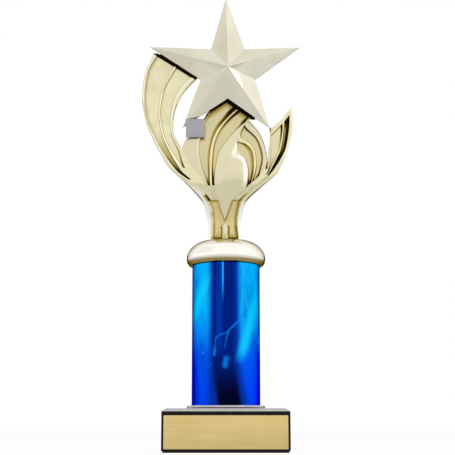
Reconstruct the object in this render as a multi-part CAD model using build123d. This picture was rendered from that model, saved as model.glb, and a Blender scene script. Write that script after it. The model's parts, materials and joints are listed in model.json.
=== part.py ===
"""Column trophy: a stone base, a foil-wrapped column and a star figure, drawn together by one rod.

Millimetres. +Z is up and the front faces -Y. The origin is the centre of the underside, where
the rod's axis meets the surface that the trophy stands on. The figure's own outlines are given
as (x, z) from the foot of the figure, which stands on the lid of the column.
"""
import math
import os

from build123d import *

# --- base ---------------------------------------------------------------------------------
BASE_WIDTH = 80.0
BASE_DEPTH = 60.0
FELT_THICKNESS = 1.0
FELT_INSET = 0.8
FACE_TOP_Z = 25.4          # top of the upright faces, where the bevel starts
BASE_TOP_Z = 27.2
BEVEL_INSET = 3.0
CORNER_RADIUS = 1.2
ROD_HOLE_RADIUS = 3.6
COUNTERBORE_RADIUS = 11.0
COUNTERBORE_TOP_Z = 12.0

# --- name plate ---------------------------------------------------------------------------
PLATE_WIDTH = 77.0
PLATE_HEIGHT = 20.6
PLATE_THICKNESS = 0.6
PLATE_CENTRE_Z = 12.5
TAPE_THICKNESS = 0.2
TAPE_INSET = 1.5           # margin of bare plate round the tape
PLATE_CORNER_RADIUS = 0.5

# --- column -------------------------------------------------------------------------------
RING_RADIUS = 25.2
RING_THICKNESS = 2.0
COLUMN_RADIUS = 22.25      # over the foil
FOIL_THICKNESS = 0.2
TUBE_WALL = 1.6
SPIGOT_WALL = 1.6
SPIGOT_LENGTH = 8.0
SPIGOT_CLEARANCE = 0.05
COLUMN_TOP_Z = 120.2
LID_TOP_Z = 136.5
LID_RADIUS = 26.0

# --- rod and its hardware (1/4-20) --------------------------------------------------------
ROD_RADIUS = 3.175
GUIDE_RADIUS = 3.25        # running fit on the rod in the ring, the lid and the washers
NUT_ACROSS_FLATS = 11.11
NUT_HEIGHT = 5.56
WASHER_RADIUS = 9.0
LOCK_WASHER_RADIUS = 6.2
WASHER_THICKNESS = 1.6
ROD_BOTTOM_Z = 2.0
ROD_ABOVE_FOOT = 12.0

# --- figure -------------------------------------------------------------------------------
FOOT_Z = LID_TOP_Z
BOW_RADIUS = 350.0         # the plumes bow gently about an upright axis behind the figure
WALL = 2.4                 # thickness of the plumes
CHANNEL_DEPTH = 1.2        # how far the grained floors lie behind the ribs
POCKET_DEPTH = 5.96        # hexagonal pocket for the captive nut

# Front and back of the figure in side view, as (z, y).
FRONT_PROFILE = [(0, -7.2), (14, -6.6), (27, -9.0), (38, -11.3), (55, -11.5), (65, -10.3),
                 (72, -8.9), (78, -7.6), (84, -6.3), (92, -5.6), (102, -5.2), (134, -5.0)]
BACK_PROFILE = [(0, 7.2), (14, 6.6), (24, 4.5), (33, -2.0), (43, -8.9), (55, -9.1), (65, -7.9),
                (72, -6.5), (78, -5.2), (84, -3.9), (92, -3.2), (102, -2.8), (134, -2.6)]

# Silhouette of stem and plumes. The two crotches are where the open gaps between plumes end.
OUTER_LEFT = [(-11.8, 0), (-12.1, 14), (-15.5, 27), (-26.5, 38.5), (-38, 49), (-47, 65),
              (-54, 81.5), (-57.4, 100), (-55.5, 118), (-49.7, 131.5)]
LEFT_CROTCH = (-29, 60)
LEFT_INNER = [LEFT_CROTCH, (-35.2, 73.5), (-34.4, 90), (-27, 105), (-14, 117)]
LEFT_END = (-14, 126)
PETAL_LEFT = [LEFT_CROTCH, (-24.4, 72.7), (-20, 79), (-14.6, 83.5), (-7, 92.5), (0, 98)]
PETAL_RIGHT_TOP = (19.5, 85)
RIGHT_CROTCH = (27.2, 49)
SMALL_PETAL_OUTER = [RIGHT_CROTCH, (26.5, 60), (23.1, 71.5), (15.5, 81.7)]
RIGHT_INNER = [RIGHT_CROTCH, (28.5, 60), (29.3, 77)]
RIGHT_TIP = (44.4, 94.5)
OUTER_RIGHT = [(9.9, 0), (9.7, 14), (13, 27), (23, 36), (33.5, 44.5), (40.5, 59),
               (44.7, 76), RIGHT_TIP]

# Sunk, grained floors: each is bounded by two curves that leave one point at the bottom.
CHANNELS = {
    "left_outer": ([(-24.5, 41), (-35.2, 50), (-42.4, 60), (-50, 75), (-54.8, 90), (-55.5, 105),
                    (-53, 120), (-47.5, 129.5)],
                   [(-24.5, 41), (-32, 50), (-37.8, 60), (-43.6, 75), (-45.4, 90), (-43.3, 105),
                    (-35.3, 122)]),
    "left_inner": ([(-28, 49), (-34.5, 60), (-41, 75), (-44.4, 89), (-42, 105), (-33.4, 121.3)],
                   [(-28, 49), (-32, 60), (-36.8, 72), (-37.4, 84), (-34.2, 100), (-27, 110),
                    (-20.5, 114.2)]),
    "petal_left": ([(-11, 36.5), (-17, 50), (-18, 60), (-16.3, 75.5), (-9, 89.5), (0.5, 96.5)],
                   [(-11, 36.5), (-11.6, 52), (-10.2, 68.5), (-1.8, 84.5), (7, 93)]),
    "petal_right": ([(-7.9, 37), (-9, 50), (-7.2, 65), (0.2, 79.5), (10, 89.5)],
                    [(-7.9, 37), (-4.6, 58), (4.9, 73), (16.8, 84)]),
    "small_inner": ([(14.5, 36), (14.8, 46), (12.3, 55.5), (8.5, 61)],
                    [(14.5, 36), (17.6, 50), (15.6, 60.5), (8.5, 66.5)]),
    "small_outer": ([(16.8, 38), (19.6, 52), (15.4, 65.5), (10.2, 70)],
                    [(16.8, 38), (22.8, 46), (24.4, 57), (20.8, 68.5), (12.7, 78)]),
    "right_inner": ([(27.8, 45), (29.7, 58), (30.2, 71.5)],
                    [(27.8, 45), (34.9, 63), (37.5, 79.5)]),
    "right_outer": ([(28.9, 44.5), (37.1, 62), (39.2, 80.5)],
                    [(28.9, 44.5), (40.1, 64), (43.2, 87)]),
}
# The sunk floor of the stem runs round a pointed tongue above and a tab below.
STEM_FLOOR = [(-8.2, 1), (-7.8, 11), (-8.8, 20), (-11, 27), (-4.8, 27), (-0.6, 14.7), (3.4, 27), (9.6, 27),
              (8, 20), (7.2, 12), (8.2, 1), (1.8, 1), (1.6, 9.8), (-0.6, 11.6), (-2.7, 9.8), (-2.7, 1)]
EGG_CENTRE = (6.0, 46.5)
EGG_HALF_WIDTH = 8.6
EGG_HALF_HEIGHT = 12.0
EGG_PROUD = 2.0

# --- star ---------------------------------------------------------------------------------
STAR_CENTRE = (0.0, 117.0)
STAR_CORE = (1.2, 116.5)           # centre of the notches and foot of the peak
TIP_RADII = (51.8, 54.0, 49.7, 49.7, 52.6)
NOTCH_RADIUS = 19.3
STAR_BACK_Y = -6.4
STAR_RIM = 1.4
STAR_PEAK_Y = -17.5
STAR_WALL_SCALE = 0.93
COVER_SCALE = 0.925
PEG_PLACES = [(-6.0, 103.0), (9.0, 103.0), (-29.5, 125.5)]
PEG_RADIUS = 1.5
PEG_CLEARANCE = 0.05
BOSS_RADIUS = 3.0
BOSS_END_Y = 0.5
PEG_HEAD_RADIUS = 2.5
PEG_HEAD_THICKNESS = 1.0
BRIDGE = [(-11, 88), (19.2, 85.2), (15, 109), (-11, 109)]
BRIDGE_Y = (-4.4, -2.6)

# --- small silver plate -------------------------------------------------------------------
BADGE_WIDTH = 12.2
BADGE_HEIGHT = 12.8
BADGE_CENTRE = (-20.7, 75.8)
BADGE_BACK_Y = -9.8
BADGE_THICKNESS = 0.5
BADGE_CORNER_RADIUS = 0.4
BADGE_TAPE = (-21.5, -17.4, 70.8, 76.5)        # x from, to, z from, to


def turned(points):
    """A solid of revolution about the rod's axis from straight (radius, z) points."""
    face = make_face(Polyline(*[(r, 0, z) for r, z in points], close=True))
    return revolve(face, Axis.Z)


def disc(radius, bottom_z, top_z):
    """A plain upright cylinder."""
    return Pos(0, 0, (bottom_z + top_z) / 2) * Cylinder(radius, top_z - bottom_z)


def washer(outer_radius, inner_radius, bottom_z, top_z):
    """A flat ring about the rod's axis."""
    return disc(outer_radius, bottom_z, top_z) - disc(inner_radius, bottom_z - 1, top_z + 1)


def hexagon(across_flats, bottom_z, top_z):
    """A six-sided prism about the rod's axis."""
    corners = RegularPolygon(across_flats / 2, 6, major_radius=False)
    return Pos(0, 0, bottom_z) * extrude(corners, top_z - bottom_z)


def rounded_box(width, height, radius, y_back, y_front, centre):
    """A thin upright plate with rounded corners, facing -Y, about centre (x, z)."""
    sketch = Plane.XZ * Pos(centre[0], centre[1]) * RectangleRounded(width, height, radius)
    return Pos(0, y_back, 0) * extrude(sketch, y_back - y_front)


# --- base and name plate ------------------------------------------------------------------
def felt():
    """The sheet glued over the underside, which hides the clamp nut."""
    outline = RectangleRounded(BASE_WIDTH - 2 * FELT_INSET, BASE_DEPTH - 2 * FELT_INSET, CORNER_RADIUS)
    return extrude(outline, FELT_THICKNESS)


def stone():
    """The polished block, with a bevelled top and a counterbored hole for the rod."""
    lower = RectangleRounded(BASE_WIDTH, BASE_DEPTH, CORNER_RADIUS)
    upper = RectangleRounded(BASE_WIDTH - 2 * BEVEL_INSET, BASE_DEPTH - 2 * BEVEL_INSET, CORNER_RADIUS)
    block = Pos(0, 0, FELT_THICKNESS) * extrude(lower, FACE_TOP_Z - FELT_THICKNESS)
    block += loft([Pos(0, 0, FACE_TOP_Z) * lower, Pos(0, 0, BASE_TOP_Z) * upper])
    block -= disc(ROD_HOLE_RADIUS, 0, BASE_TOP_Z + 1)
    return block - disc(COUNTERBORE_RADIUS, 0, COUNTERBORE_TOP_Z)


def name_plate_tape():
    """The double-sided tape behind the name plate."""
    back = -BASE_DEPTH / 2
    width, height = PLATE_WIDTH - 2 * TAPE_INSET, PLATE_HEIGHT - 2 * TAPE_INSET
    centre = (0, PLATE_CENTRE_Z)
    return rounded_box(width, height, PLATE_CORNER_RADIUS, back, back - TAPE_THICKNESS, centre)


def name_plate():
    """The brass plate on the front of the base."""
    back = -BASE_DEPTH / 2 - TAPE_THICKNESS
    front = back - PLATE_THICKNESS
    centre = (0, PLATE_CENTRE_Z)
    return rounded_box(PLATE_WIDTH, PLATE_HEIGHT, PLATE_CORNER_RADIUS, back, front, centre)


# --- column -------------------------------------------------------------------------------
def tube_inner_radius():
    """The bore that both spigots plug into."""
    return COLUMN_RADIUS - FOIL_THICKNESS - TUBE_WALL


def foot_ring():
    """The silvered disc under the column, with a spigot that centres the tube."""
    spigot = tube_inner_radius() - SPIGOT_CLEARANCE
    top = BASE_TOP_Z + RING_THICKNESS
    rim = fillet(disc(RING_RADIUS, BASE_TOP_Z, top).edges(), 0.7)
    collar = washer(spigot, spigot - SPIGOT_WALL, top - 0.5, top + SPIGOT_LENGTH)
    return rim + collar - disc(GUIDE_RADIUS, 0, LID_TOP_Z)


def column_tube():
    """The plastic core tube."""
    outer = COLUMN_RADIUS - FOIL_THICKNESS
    return washer(outer, outer - TUBE_WALL, BASE_TOP_Z + RING_THICKNESS, COLUMN_TOP_Z)


def column_foil():
    """The coloured foil wrapped round the tube."""
    return washer(COLUMN_RADIUS, COLUMN_RADIUS - FOIL_THICKNESS, BASE_TOP_Z + RING_THICKNESS, COLUMN_TOP_Z)


def lid():
    """The hollow domed lid, with a spigot below and a flat seat for the figure on top."""
    spigot = tube_inner_radius() - SPIGOT_CLEARANCE
    base = COLUMN_TOP_Z
    outside = [(24.0, base + 0.1), (25.4, 121.9), (LID_RADIUS, 124.6), (25.8, 127.0), (24.9, 129.5),
               (22.4, 132.8), (18.5, 135.4), (15.5, 136.3), (13.0, LID_TOP_Z)]
    inside = [(13.0, 134.9), (17.8, 133.8), (21.2, 131.6), (23.4, 128.8), (24.2, 126.6),
              (24.4, 124.7), (23.2, 122.6)]
    inner_spigot = spigot - SPIGOT_WALL
    edges = [Polyline((spigot, 0, base), (24.0 - 0.6, 0, base), (24.0, 0, base + 0.1)),
             Spline(*[(r, 0, z) for r, z in outside]),
             Polyline((13.0, 0, LID_TOP_Z), (GUIDE_RADIUS, 0, LID_TOP_Z), (GUIDE_RADIUS, 0, 132.5),
                      (6.0, 0, 132.5), (6.0, 0, 134.9), (13.0, 0, 134.9)),
             Spline(*[(r, 0, z) for r, z in inside]),
             Polyline((23.2, 0, 122.6), (inner_spigot, 0, 121.7), (inner_spigot, 0, base - SPIGOT_LENGTH),
                      (spigot, 0, base - SPIGOT_LENGTH), (spigot, 0, base))]
    return revolve(make_face(edges), Axis.Z)


# --- rod and hardware ---------------------------------------------------------------------
def flat_washer():
    """Bears on the ceiling of the counterbore."""
    return washer(WASHER_RADIUS, GUIDE_RADIUS, COUNTERBORE_TOP_Z - WASHER_THICKNESS, COUNTERBORE_TOP_Z)


def lock_washer():
    """The split spring washer between the nut and the flat washer."""
    top = COUNTERBORE_TOP_Z - WASHER_THICKNESS
    ring = washer(LOCK_WASHER_RADIUS, ROD_RADIUS, top - WASHER_THICKNESS, top)
    split = Pos(LOCK_WASHER_RADIUS - 1, 0, top - WASHER_THICKNESS / 2) * Box(6, 0.6, 4)
    return ring - split


def nut(bottom_z):
    """A hexagon nut, its thread modelled as a plain bore."""
    body = hexagon(NUT_ACROSS_FLATS, bottom_z, bottom_z + NUT_HEIGHT)
    corner = NUT_ACROSS_FLATS / math.sqrt(3)
    bevel = 0.7
    top_z = bottom_z + NUT_HEIGHT
    round_off = turned([(0, bottom_z), (corner - bevel, bottom_z), (corner + 0.1, bottom_z + bevel),
                        (corner + 0.1, top_z - bevel), (corner - bevel, top_z), (0, top_z)])
    return (body & round_off) - disc(ROD_RADIUS, bottom_z - 1, top_z + 1)


def threaded_rod():
    """The rod from the clamp nut up into the figure, at its thread's major diameter."""
    rod = disc(ROD_RADIUS, ROD_BOTTOM_Z, FOOT_Z + ROD_ABOVE_FOOT)
    return chamfer(rod.edges(), 0.5)


# --- figure -------------------------------------------------------------------------------
def figure_curve(points):
    """A smooth curve through (x, z) points given from the figure's foot."""
    return Spline(*[(x, 0, FOOT_Z + z) for x, z in points])


def figure_line(*points):
    """Straight runs through (x, z) points given from the figure's foot."""
    return Polyline(*[(x, 0, FOOT_Z + z) for x, z in points])


def through(face, y_from, y_to):
    """The upright prism that a face in the XZ plane sweeps from y_from to y_to."""
    return extrude(Pos(0, y_from, 0) * face, y_to - y_from, dir=(0, 1, 0))


def bowed_slab(front, back):
    """The slab between two side profiles, bowed about the upright axis behind the figure."""
    front_edge = Spline(*[(0, y, FOOT_Z + z) for z, y in front])
    back_edge = Spline(*[(0, y, FOOT_Z + z) for z, y in back])
    top = Line(front_edge @ 1, back_edge @ 1)
    bottom = Line(front_edge @ 0, back_edge @ 0)
    section = make_face([front_edge, top, back_edge, bottom])
    half_angle = 12
    bow_axis = Axis((0, BOW_RADIUS, 0), (0, 0, 1))
    return revolve(section.rotate(bow_axis, -half_angle), bow_axis, 2 * half_angle)


def silhouette():
    """The face that stem and plumes fill, seen from the front."""
    return make_face([
        figure_curve(OUTER_LEFT),
        figure_line(OUTER_LEFT[-1], LEFT_END, LEFT_INNER[-1]),
        figure_curve(LEFT_INNER),
        figure_curve(PETAL_LEFT),
        figure_line(PETAL_LEFT[-1], PETAL_RIGHT_TOP, SMALL_PETAL_OUTER[-1]),
        figure_curve(SMALL_PETAL_OUTER),
        figure_curve(RIGHT_INNER),
        figure_line(RIGHT_INNER[-1], RIGHT_TIP),
        figure_curve(OUTER_RIGHT),
        figure_line(OUTER_LEFT[0], OUTER_RIGHT[0]),
    ])


def sunk_floors():
    """The prisms of all grained floors, in one compound."""
    faces = [make_face([figure_curve(left), figure_line(left[-1], right[-1]), figure_curve(right)])
             for left, right in CHANNELS.values()]
    faces.append(make_face(figure_line(*STEM_FLOOR, STEM_FLOOR[0])))
    return [through(face, -20, 5) for face in faces]


def egg():
    """The smooth oval that swells out of the middle of the bowl."""
    width = (EGG_HALF_WIDTH ** 2 + EGG_PROUD ** 2) / (2 * EGG_PROUD)
    height = width * EGG_HALF_HEIGHT / EGG_HALF_WIDTH
    front = min(y for z, y in FRONT_PROFILE)
    half = Ellipse(width, height) & Pos(width, 0) * Rectangle(2 * width, 2 * height)
    spheroid = revolve(half, Axis.Y)
    middle_z = FOOT_Z + EGG_CENTRE[1]
    upright = Pos(EGG_CENTRE[0], front - EGG_PROUD + width, middle_z) * Rot(90, 0, 0) * spheroid
    keep = Pos(EGG_CENTRE[0], front - 5 + 0.6, middle_z) * Box(60, 10, 60)
    return upright & keep


def peg_cylinder(place, radius, y_from, y_to):
    """A round bar along Y at (x, z) from the figure's foot."""
    x, z = place
    bar = Cylinder(radius, y_to - y_from)
    return Pos(x, (y_from + y_to) / 2, FOOT_Z + z) * Rot(90, 0, 0) * bar


def figure_body():
    """Stem, bowl and plumes in one moulding, with the pocket for the captive nut."""
    body = through(silhouette(), -20, 12) & bowed_slab(FRONT_PROFILE, BACK_PROFILE)
    skin = bowed_slab([(z, y - 4) for z, y in FRONT_PROFILE],
                      [(z, y + CHANNEL_DEPTH) for z, y in FRONT_PROFILE])
    for floor in sunk_floors():
        body -= floor & skin
    body += egg()
    body += through(make_face(figure_line(*BRIDGE, BRIDGE[0])), *BRIDGE_Y)
    for place in PEG_PLACES:
        body += peg_cylinder(place, BOSS_RADIUS, STAR_BACK_Y, BOSS_END_Y)
    for place in PEG_PLACES:
        body -= peg_cylinder(place, PEG_RADIUS + PEG_CLEARANCE, -10, 10)
    body -= hexagon(NUT_ACROSS_FLATS + 0.1, FOOT_Z - 1, FOOT_Z + POCKET_DEPTH)
    return body - disc(ROD_HOLE_RADIUS, FOOT_Z, FOOT_Z + ROD_ABOVE_FOOT + 2)


def around(centre, reach, angle):
    """The (x, z) point at a distance and an angle from a centre."""
    return (centre[0] + reach * math.cos(angle), centre[1] + reach * math.sin(angle))


def star_points(scale):
    """The ten corners of the star as (x, z) from the figure's foot, tips and notches in turn."""
    corners = []
    for arm in range(5):
        tip_angle = math.radians(90 + 72 * arm)
        notch_angle = tip_angle + math.radians(36)
        reach = TIP_RADII[arm] * scale
        depth = NOTCH_RADIUS * scale
        corners.append(around(STAR_CENTRE, reach, tip_angle))
        corners.append(around(STAR_CORE, depth, notch_angle))
    return corners


def star_solid(scale, back_y, rim_y, peak_y):
    """A ten-facet star: an upright wall from back_y to rim_y, then facets up to the peak."""
    corners = star_points(scale)
    back = [Vector(x, back_y, FOOT_Z + z) for x, z in corners]
    rim = [Vector(x, rim_y, FOOT_Z + z) for x, z in corners]
    peak = Vector(STAR_CORE[0], peak_y, FOOT_Z + STAR_CORE[1])
    faces = [Face(Wire.make_polygon(back))]
    for i in range(len(corners)):
        j = (i + 1) % len(corners)
        faces.append(Face(Wire.make_polygon([back[i], back[j], rim[j], rim[i]])))
        faces.append(Face(Wire.make_polygon([rim[i], rim[j], peak])))
    return Solid(Shell(faces))


def star_face():
    """The hollow faceted front of the star."""
    rim_y = STAR_BACK_Y - STAR_RIM
    outside = star_solid(1.0, STAR_BACK_Y, rim_y, STAR_PEAK_Y)
    inside = star_solid(STAR_WALL_SCALE, STAR_BACK_Y + 1, rim_y, STAR_PEAK_Y + 1.7)
    return outside - inside


def star_cover():
    """The flat cover in the back of the star, with three headed pegs through the plumes."""
    corners = [(x, 0, FOOT_Z + z) for x, z in star_points(COVER_SCALE)]
    cover = through(make_face(Polyline(*corners, close=True)), STAR_BACK_Y - STAR_RIM, STAR_BACK_Y)
    for place in PEG_PLACES:
        cover += peg_cylinder(place, PEG_RADIUS, STAR_BACK_Y - 0.5, BOSS_END_Y + 0.5)
        cover += peg_cylinder(place, PEG_HEAD_RADIUS, BOSS_END_Y, BOSS_END_Y + PEG_HEAD_THICKNESS)
    return cover


def badge():
    """The small silver plate over the lower left of the figure."""
    front_y = BADGE_BACK_Y - BADGE_THICKNESS
    plate = rounded_box(BADGE_WIDTH, BADGE_HEIGHT, BADGE_CORNER_RADIUS, BADGE_BACK_Y, front_y, BADGE_CENTRE)
    return Pos(0, 0, FOOT_Z) * plate


def badge_tape(body):
    """The foam tape that fills the space between the badge and the leaf behind it."""
    left, right, bottom, top = BADGE_TAPE
    inside_leaf_y = -7.2
    depth = inside_leaf_y - BADGE_BACK_Y
    centre = Pos((left + right) / 2, BADGE_BACK_Y + depth / 2, FOOT_Z + (bottom + top) / 2)
    return centre * Box(right - left, depth, top - bottom) - body


def build():
    """All sub-parts by node name."""
    body = figure_body()
    return {
        "base_felt": felt(),
        "stone_base": stone(),
        "name_plate_tape": name_plate_tape(),
        "name_plate": name_plate(),
        "foot_ring": foot_ring(),
        "column_tube": column_tube(),
        "column_foil": column_foil(),
        "column_lid": lid(),
        "flat_washer": flat_washer(),
        "lock_washer": lock_washer(),
        "clamp_nut": nut(COUNTERBORE_TOP_Z - 2 * WASHER_THICKNESS - NUT_HEIGHT),
        "threaded_rod": threaded_rod(),
        "figure_nut": nut(FOOT_Z + POCKET_DEPTH - NUT_HEIGHT),
        "figure_body": body,
        "star_face": star_face(),
        "star_cover": star_cover(),
        "badge_plate": badge(),
        "badge_tape": badge_tape(body),
    }


os.makedirs("parts", exist_ok=True)
for node, shape in build().items():
    export_step(shape, f"parts/{node}.step")
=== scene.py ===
"""Looks of the column trophy: its pieces, their finishes and a plain studio, in metres.

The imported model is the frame. Outlines of the figure are millimetres (x, z) from its foot, as
seen from the front, which faces -Y.
"""
import json
import math

import bmesh
import bpy
from bpy.props import FloatProperty, FloatVectorProperty, PointerProperty
from mathutils import Matrix, Vector

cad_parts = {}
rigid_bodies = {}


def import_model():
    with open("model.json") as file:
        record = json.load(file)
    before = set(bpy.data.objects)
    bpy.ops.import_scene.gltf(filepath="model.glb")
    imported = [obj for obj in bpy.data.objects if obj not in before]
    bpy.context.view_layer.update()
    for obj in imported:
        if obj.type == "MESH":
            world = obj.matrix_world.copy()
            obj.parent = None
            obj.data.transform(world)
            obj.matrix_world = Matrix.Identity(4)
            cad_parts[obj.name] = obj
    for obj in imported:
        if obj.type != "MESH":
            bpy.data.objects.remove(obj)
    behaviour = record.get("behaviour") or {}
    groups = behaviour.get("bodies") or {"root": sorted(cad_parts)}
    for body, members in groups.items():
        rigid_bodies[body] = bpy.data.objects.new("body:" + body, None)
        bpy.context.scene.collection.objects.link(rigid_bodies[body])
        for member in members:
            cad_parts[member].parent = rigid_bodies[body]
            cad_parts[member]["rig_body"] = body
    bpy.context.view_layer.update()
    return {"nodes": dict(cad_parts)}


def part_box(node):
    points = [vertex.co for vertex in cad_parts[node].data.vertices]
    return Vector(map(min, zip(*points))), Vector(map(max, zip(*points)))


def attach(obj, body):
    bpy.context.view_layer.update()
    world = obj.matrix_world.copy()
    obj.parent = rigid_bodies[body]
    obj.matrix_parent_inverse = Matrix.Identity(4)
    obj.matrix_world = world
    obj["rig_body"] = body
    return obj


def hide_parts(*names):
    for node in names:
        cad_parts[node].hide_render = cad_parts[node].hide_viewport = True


bl_info = {
    "name": "Column Trophy Looks",
    "version": (1, 0, 0),
    "blender": (4, 5, 0),
    "location": "3D View > Sidebar > Trophy",
    "description": "Models and finishes a star figure on a foil column and a stone base",
    "category": "Object",
}

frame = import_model()

MM = 0.001
FOOT_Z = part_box("figure_body")[0].z / MM
STONE_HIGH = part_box("stone_base")[1]
RING_LOW, RING_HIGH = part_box("foot_ring")
FOIL_LOW, FOIL_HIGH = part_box("column_foil")
LID_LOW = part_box("column_lid")[0]
LID_RIM_Z = FOIL_HIGH.z / MM

# --- the figure's flow lines --------------------------------------------------------------
# Stem stations: height, then x of the outer left edge, of the sunk floor's left edge, of the
# tongue or tab from and to, of the floor's right edge and of the outer right edge.
STEM_STATIONS = [
    (0.0, (-11.8, -8.3, -2.7, 1.8, 8.3, 9.9)),
    (9.6, (-11.8, -7.8, -2.7, 1.7, 7.3, 9.5)),
    (11.6, (-11.9, -7.8, -0.7, -0.5, 7.2, 9.5)),
    (14.7, (-12.2, -8.0, -0.7, -0.5, 7.2, 9.8)),
    (21.0, (-13.4, -9.1, -2.8, 1.6, 8.2, 10.9)),
    (27.2, (-15.5, -11.1, -4.9, 3.9, 9.6, 13.0)),
]
STEM_TOP = 27.2
# Fan lines from left to right: points below the crotches, the point level with them, and
# points above them. What lies between two neighbours is named by STRIPS.
FAN_LINES = [
    ([(-26.5, 38.5), (-38, 49)], (-44, 59),
     [(-47, 65), (-54, 81.5), (-57.4, 100), (-55.5, 118), (-49.7, 131.5)]),
    ([(-18.6, 36.5), (-25, 40.5), (-31.6, 45.3), (-35.4, 50)], (-42.3, 60),
     [(-50, 75), (-54.7, 90), (-55.5, 105), (-53, 120), (-46.5, 131)]),
    ([(-18.5, 36.7), (-24, 41.2), (-29, 45.6), (-32.2, 50)], (-37.8, 60),
     [(-43.6, 75), (-45.4, 90), (-43.3, 105), (-35, 122), (-30.7, 129)]),
    ([(-18, 38.5), (-28.4, 48.6)], (-36.1, 60),
     [(-38.9, 65), (-42.4, 75), (-44.6, 89), (-42.3, 105), (-33.8, 121), (-28.5, 128.5)]),
    ([(-17.8, 38.6), (-27.2, 48.6)], (-31, 60),
     [(-33.4, 65), (-36.7, 74), (-37.5, 84), (-34.2, 100), (-26.8, 110), (-15, 120)]),
    ([(-15, 39), (-23.5, 50)], (-29.2, 60.5), [(-35.2, 73.5), (-34.4, 90), (-27, 105), (-13, 119)]),
    ([(-14.5, 39), (-23, 50)], (-29.1, 60.5),
     [(-24.4, 72.7), (-19.5, 78.6), (-15.5, 82.4), (-12.5, 88), (-7, 93), (0, 98)]),
    ([(-12, 36.4), (-13.2, 40.5), (-16.5, 50)], (-18.1, 59), [(-16.3, 75.5), (-9, 89.5), (1.5, 98.5)]),
    ([(-10.4, 36.5), (-10.9, 45)], (-10.9, 55), [(-9.2, 67), (-5.7, 75.6), (1.9, 85.2), (9.4, 92.6)]),
    ([(-8.9, 36.3), (-9.3, 41)], (-9.4, 51), [(-7.9, 65), (-4.0, 75.2), (3.0, 84.8), (10.6, 91.4)]),
    ([(-7.5, 36.5), (-7.4, 45)], (-6.4, 51), [(-4.5, 58.8), (0.6, 67), (6.8, 74.8), (18, 85.6)]),
    ([(9.5, 31.5), (13.8, 34.9)], (14.9, 46), [(12.6, 54.5), (8.2, 60), (7.6, 66.2), (9, 74), (14.5, 83.3)]),
    ([(9.8, 31.3), (15, 35.3), (17, 40)], (18.5, 49),
     [(17.3, 60), (13, 65), (8.3, 67), (9.5, 74), (14.8, 83)]),
    ([(11.3, 32.1), (16, 36.2)], (19.8, 48),
     [(19.9, 54), (18.7, 60.5), (15.4, 66), (9.9, 69.7), (10.4, 75), (15, 82.7)]),
    ([(11.6, 31.9), (17.2, 36.3), (20.9, 40.3)], (23.7, 49),
     [(24.5, 57), (20.8, 69), (12.9, 78.2), (15.2, 82.4)]),
    ([(14.5, 36), (22, 43)], (27.2, 49), [(26.5, 60), (23.1, 71.5), (15.6, 81.9)]),
    ([(15.2, 35.5), (22.6, 42.5)], (27.2, 49), [(28.5, 60), (29.4, 71), (29.3, 77)]),
    ([(17.6, 36.2), (23.2, 40.7), (26.9, 44.7)], (28.8, 50), [(29.7, 58), (30, 71.3), (31.4, 77.5)]),
    ([(17.8, 36.1), (23.4, 40.5), (27.9, 44.8)], (30.4, 50.5),
     [(32.8, 55), (35.6, 62), (37.9, 75), (38.1, 80.3), (38.4, 84)]),
    ([(18.2, 35.9), (23.7, 40.1), (28.0, 44.0)], (31.3, 50),
     [(33.9, 55), (36.6, 61.5), (38.8, 75), (39.4, 82), (40, 87)]),
    ([(18.4, 35.7), (24, 39.9), (29, 43.7)], (34, 50.5),
     [(36.9, 55.5), (39.8, 62), (42.4, 76), (43.1, 87), (43.4, 91)]),
    ([(23, 36), (33.5, 44.5)], (36.5, 50), [(40.5, 59), (44.7, 76), (44.9, 88.5), (44.4, 94.5)]),
]
STRIPS = ["left_rim", "floor", "rib", "floor", "right_rim", "gap", "leaf", "floor", "rib", "floor",
          "bowl", "floor", "rib", "floor", "right_rim", "gap", "left_rim", "floor", "rib", "floor",
          "right_rim"]
LEFT_FLOOR = (1, 10)            # first and last line over the stem's floor, left of its tongue
RIGHT_FLOOR = (11, 20)          # and right of it
LEFT_WING_RIM, WING_RIB, WING_INNER_RIM, LEAF = 0, 2, 4, 6      # strips with a painted highlight of their own
RIGHT_WING = 16                 # first line and strip of the short right plume
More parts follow.
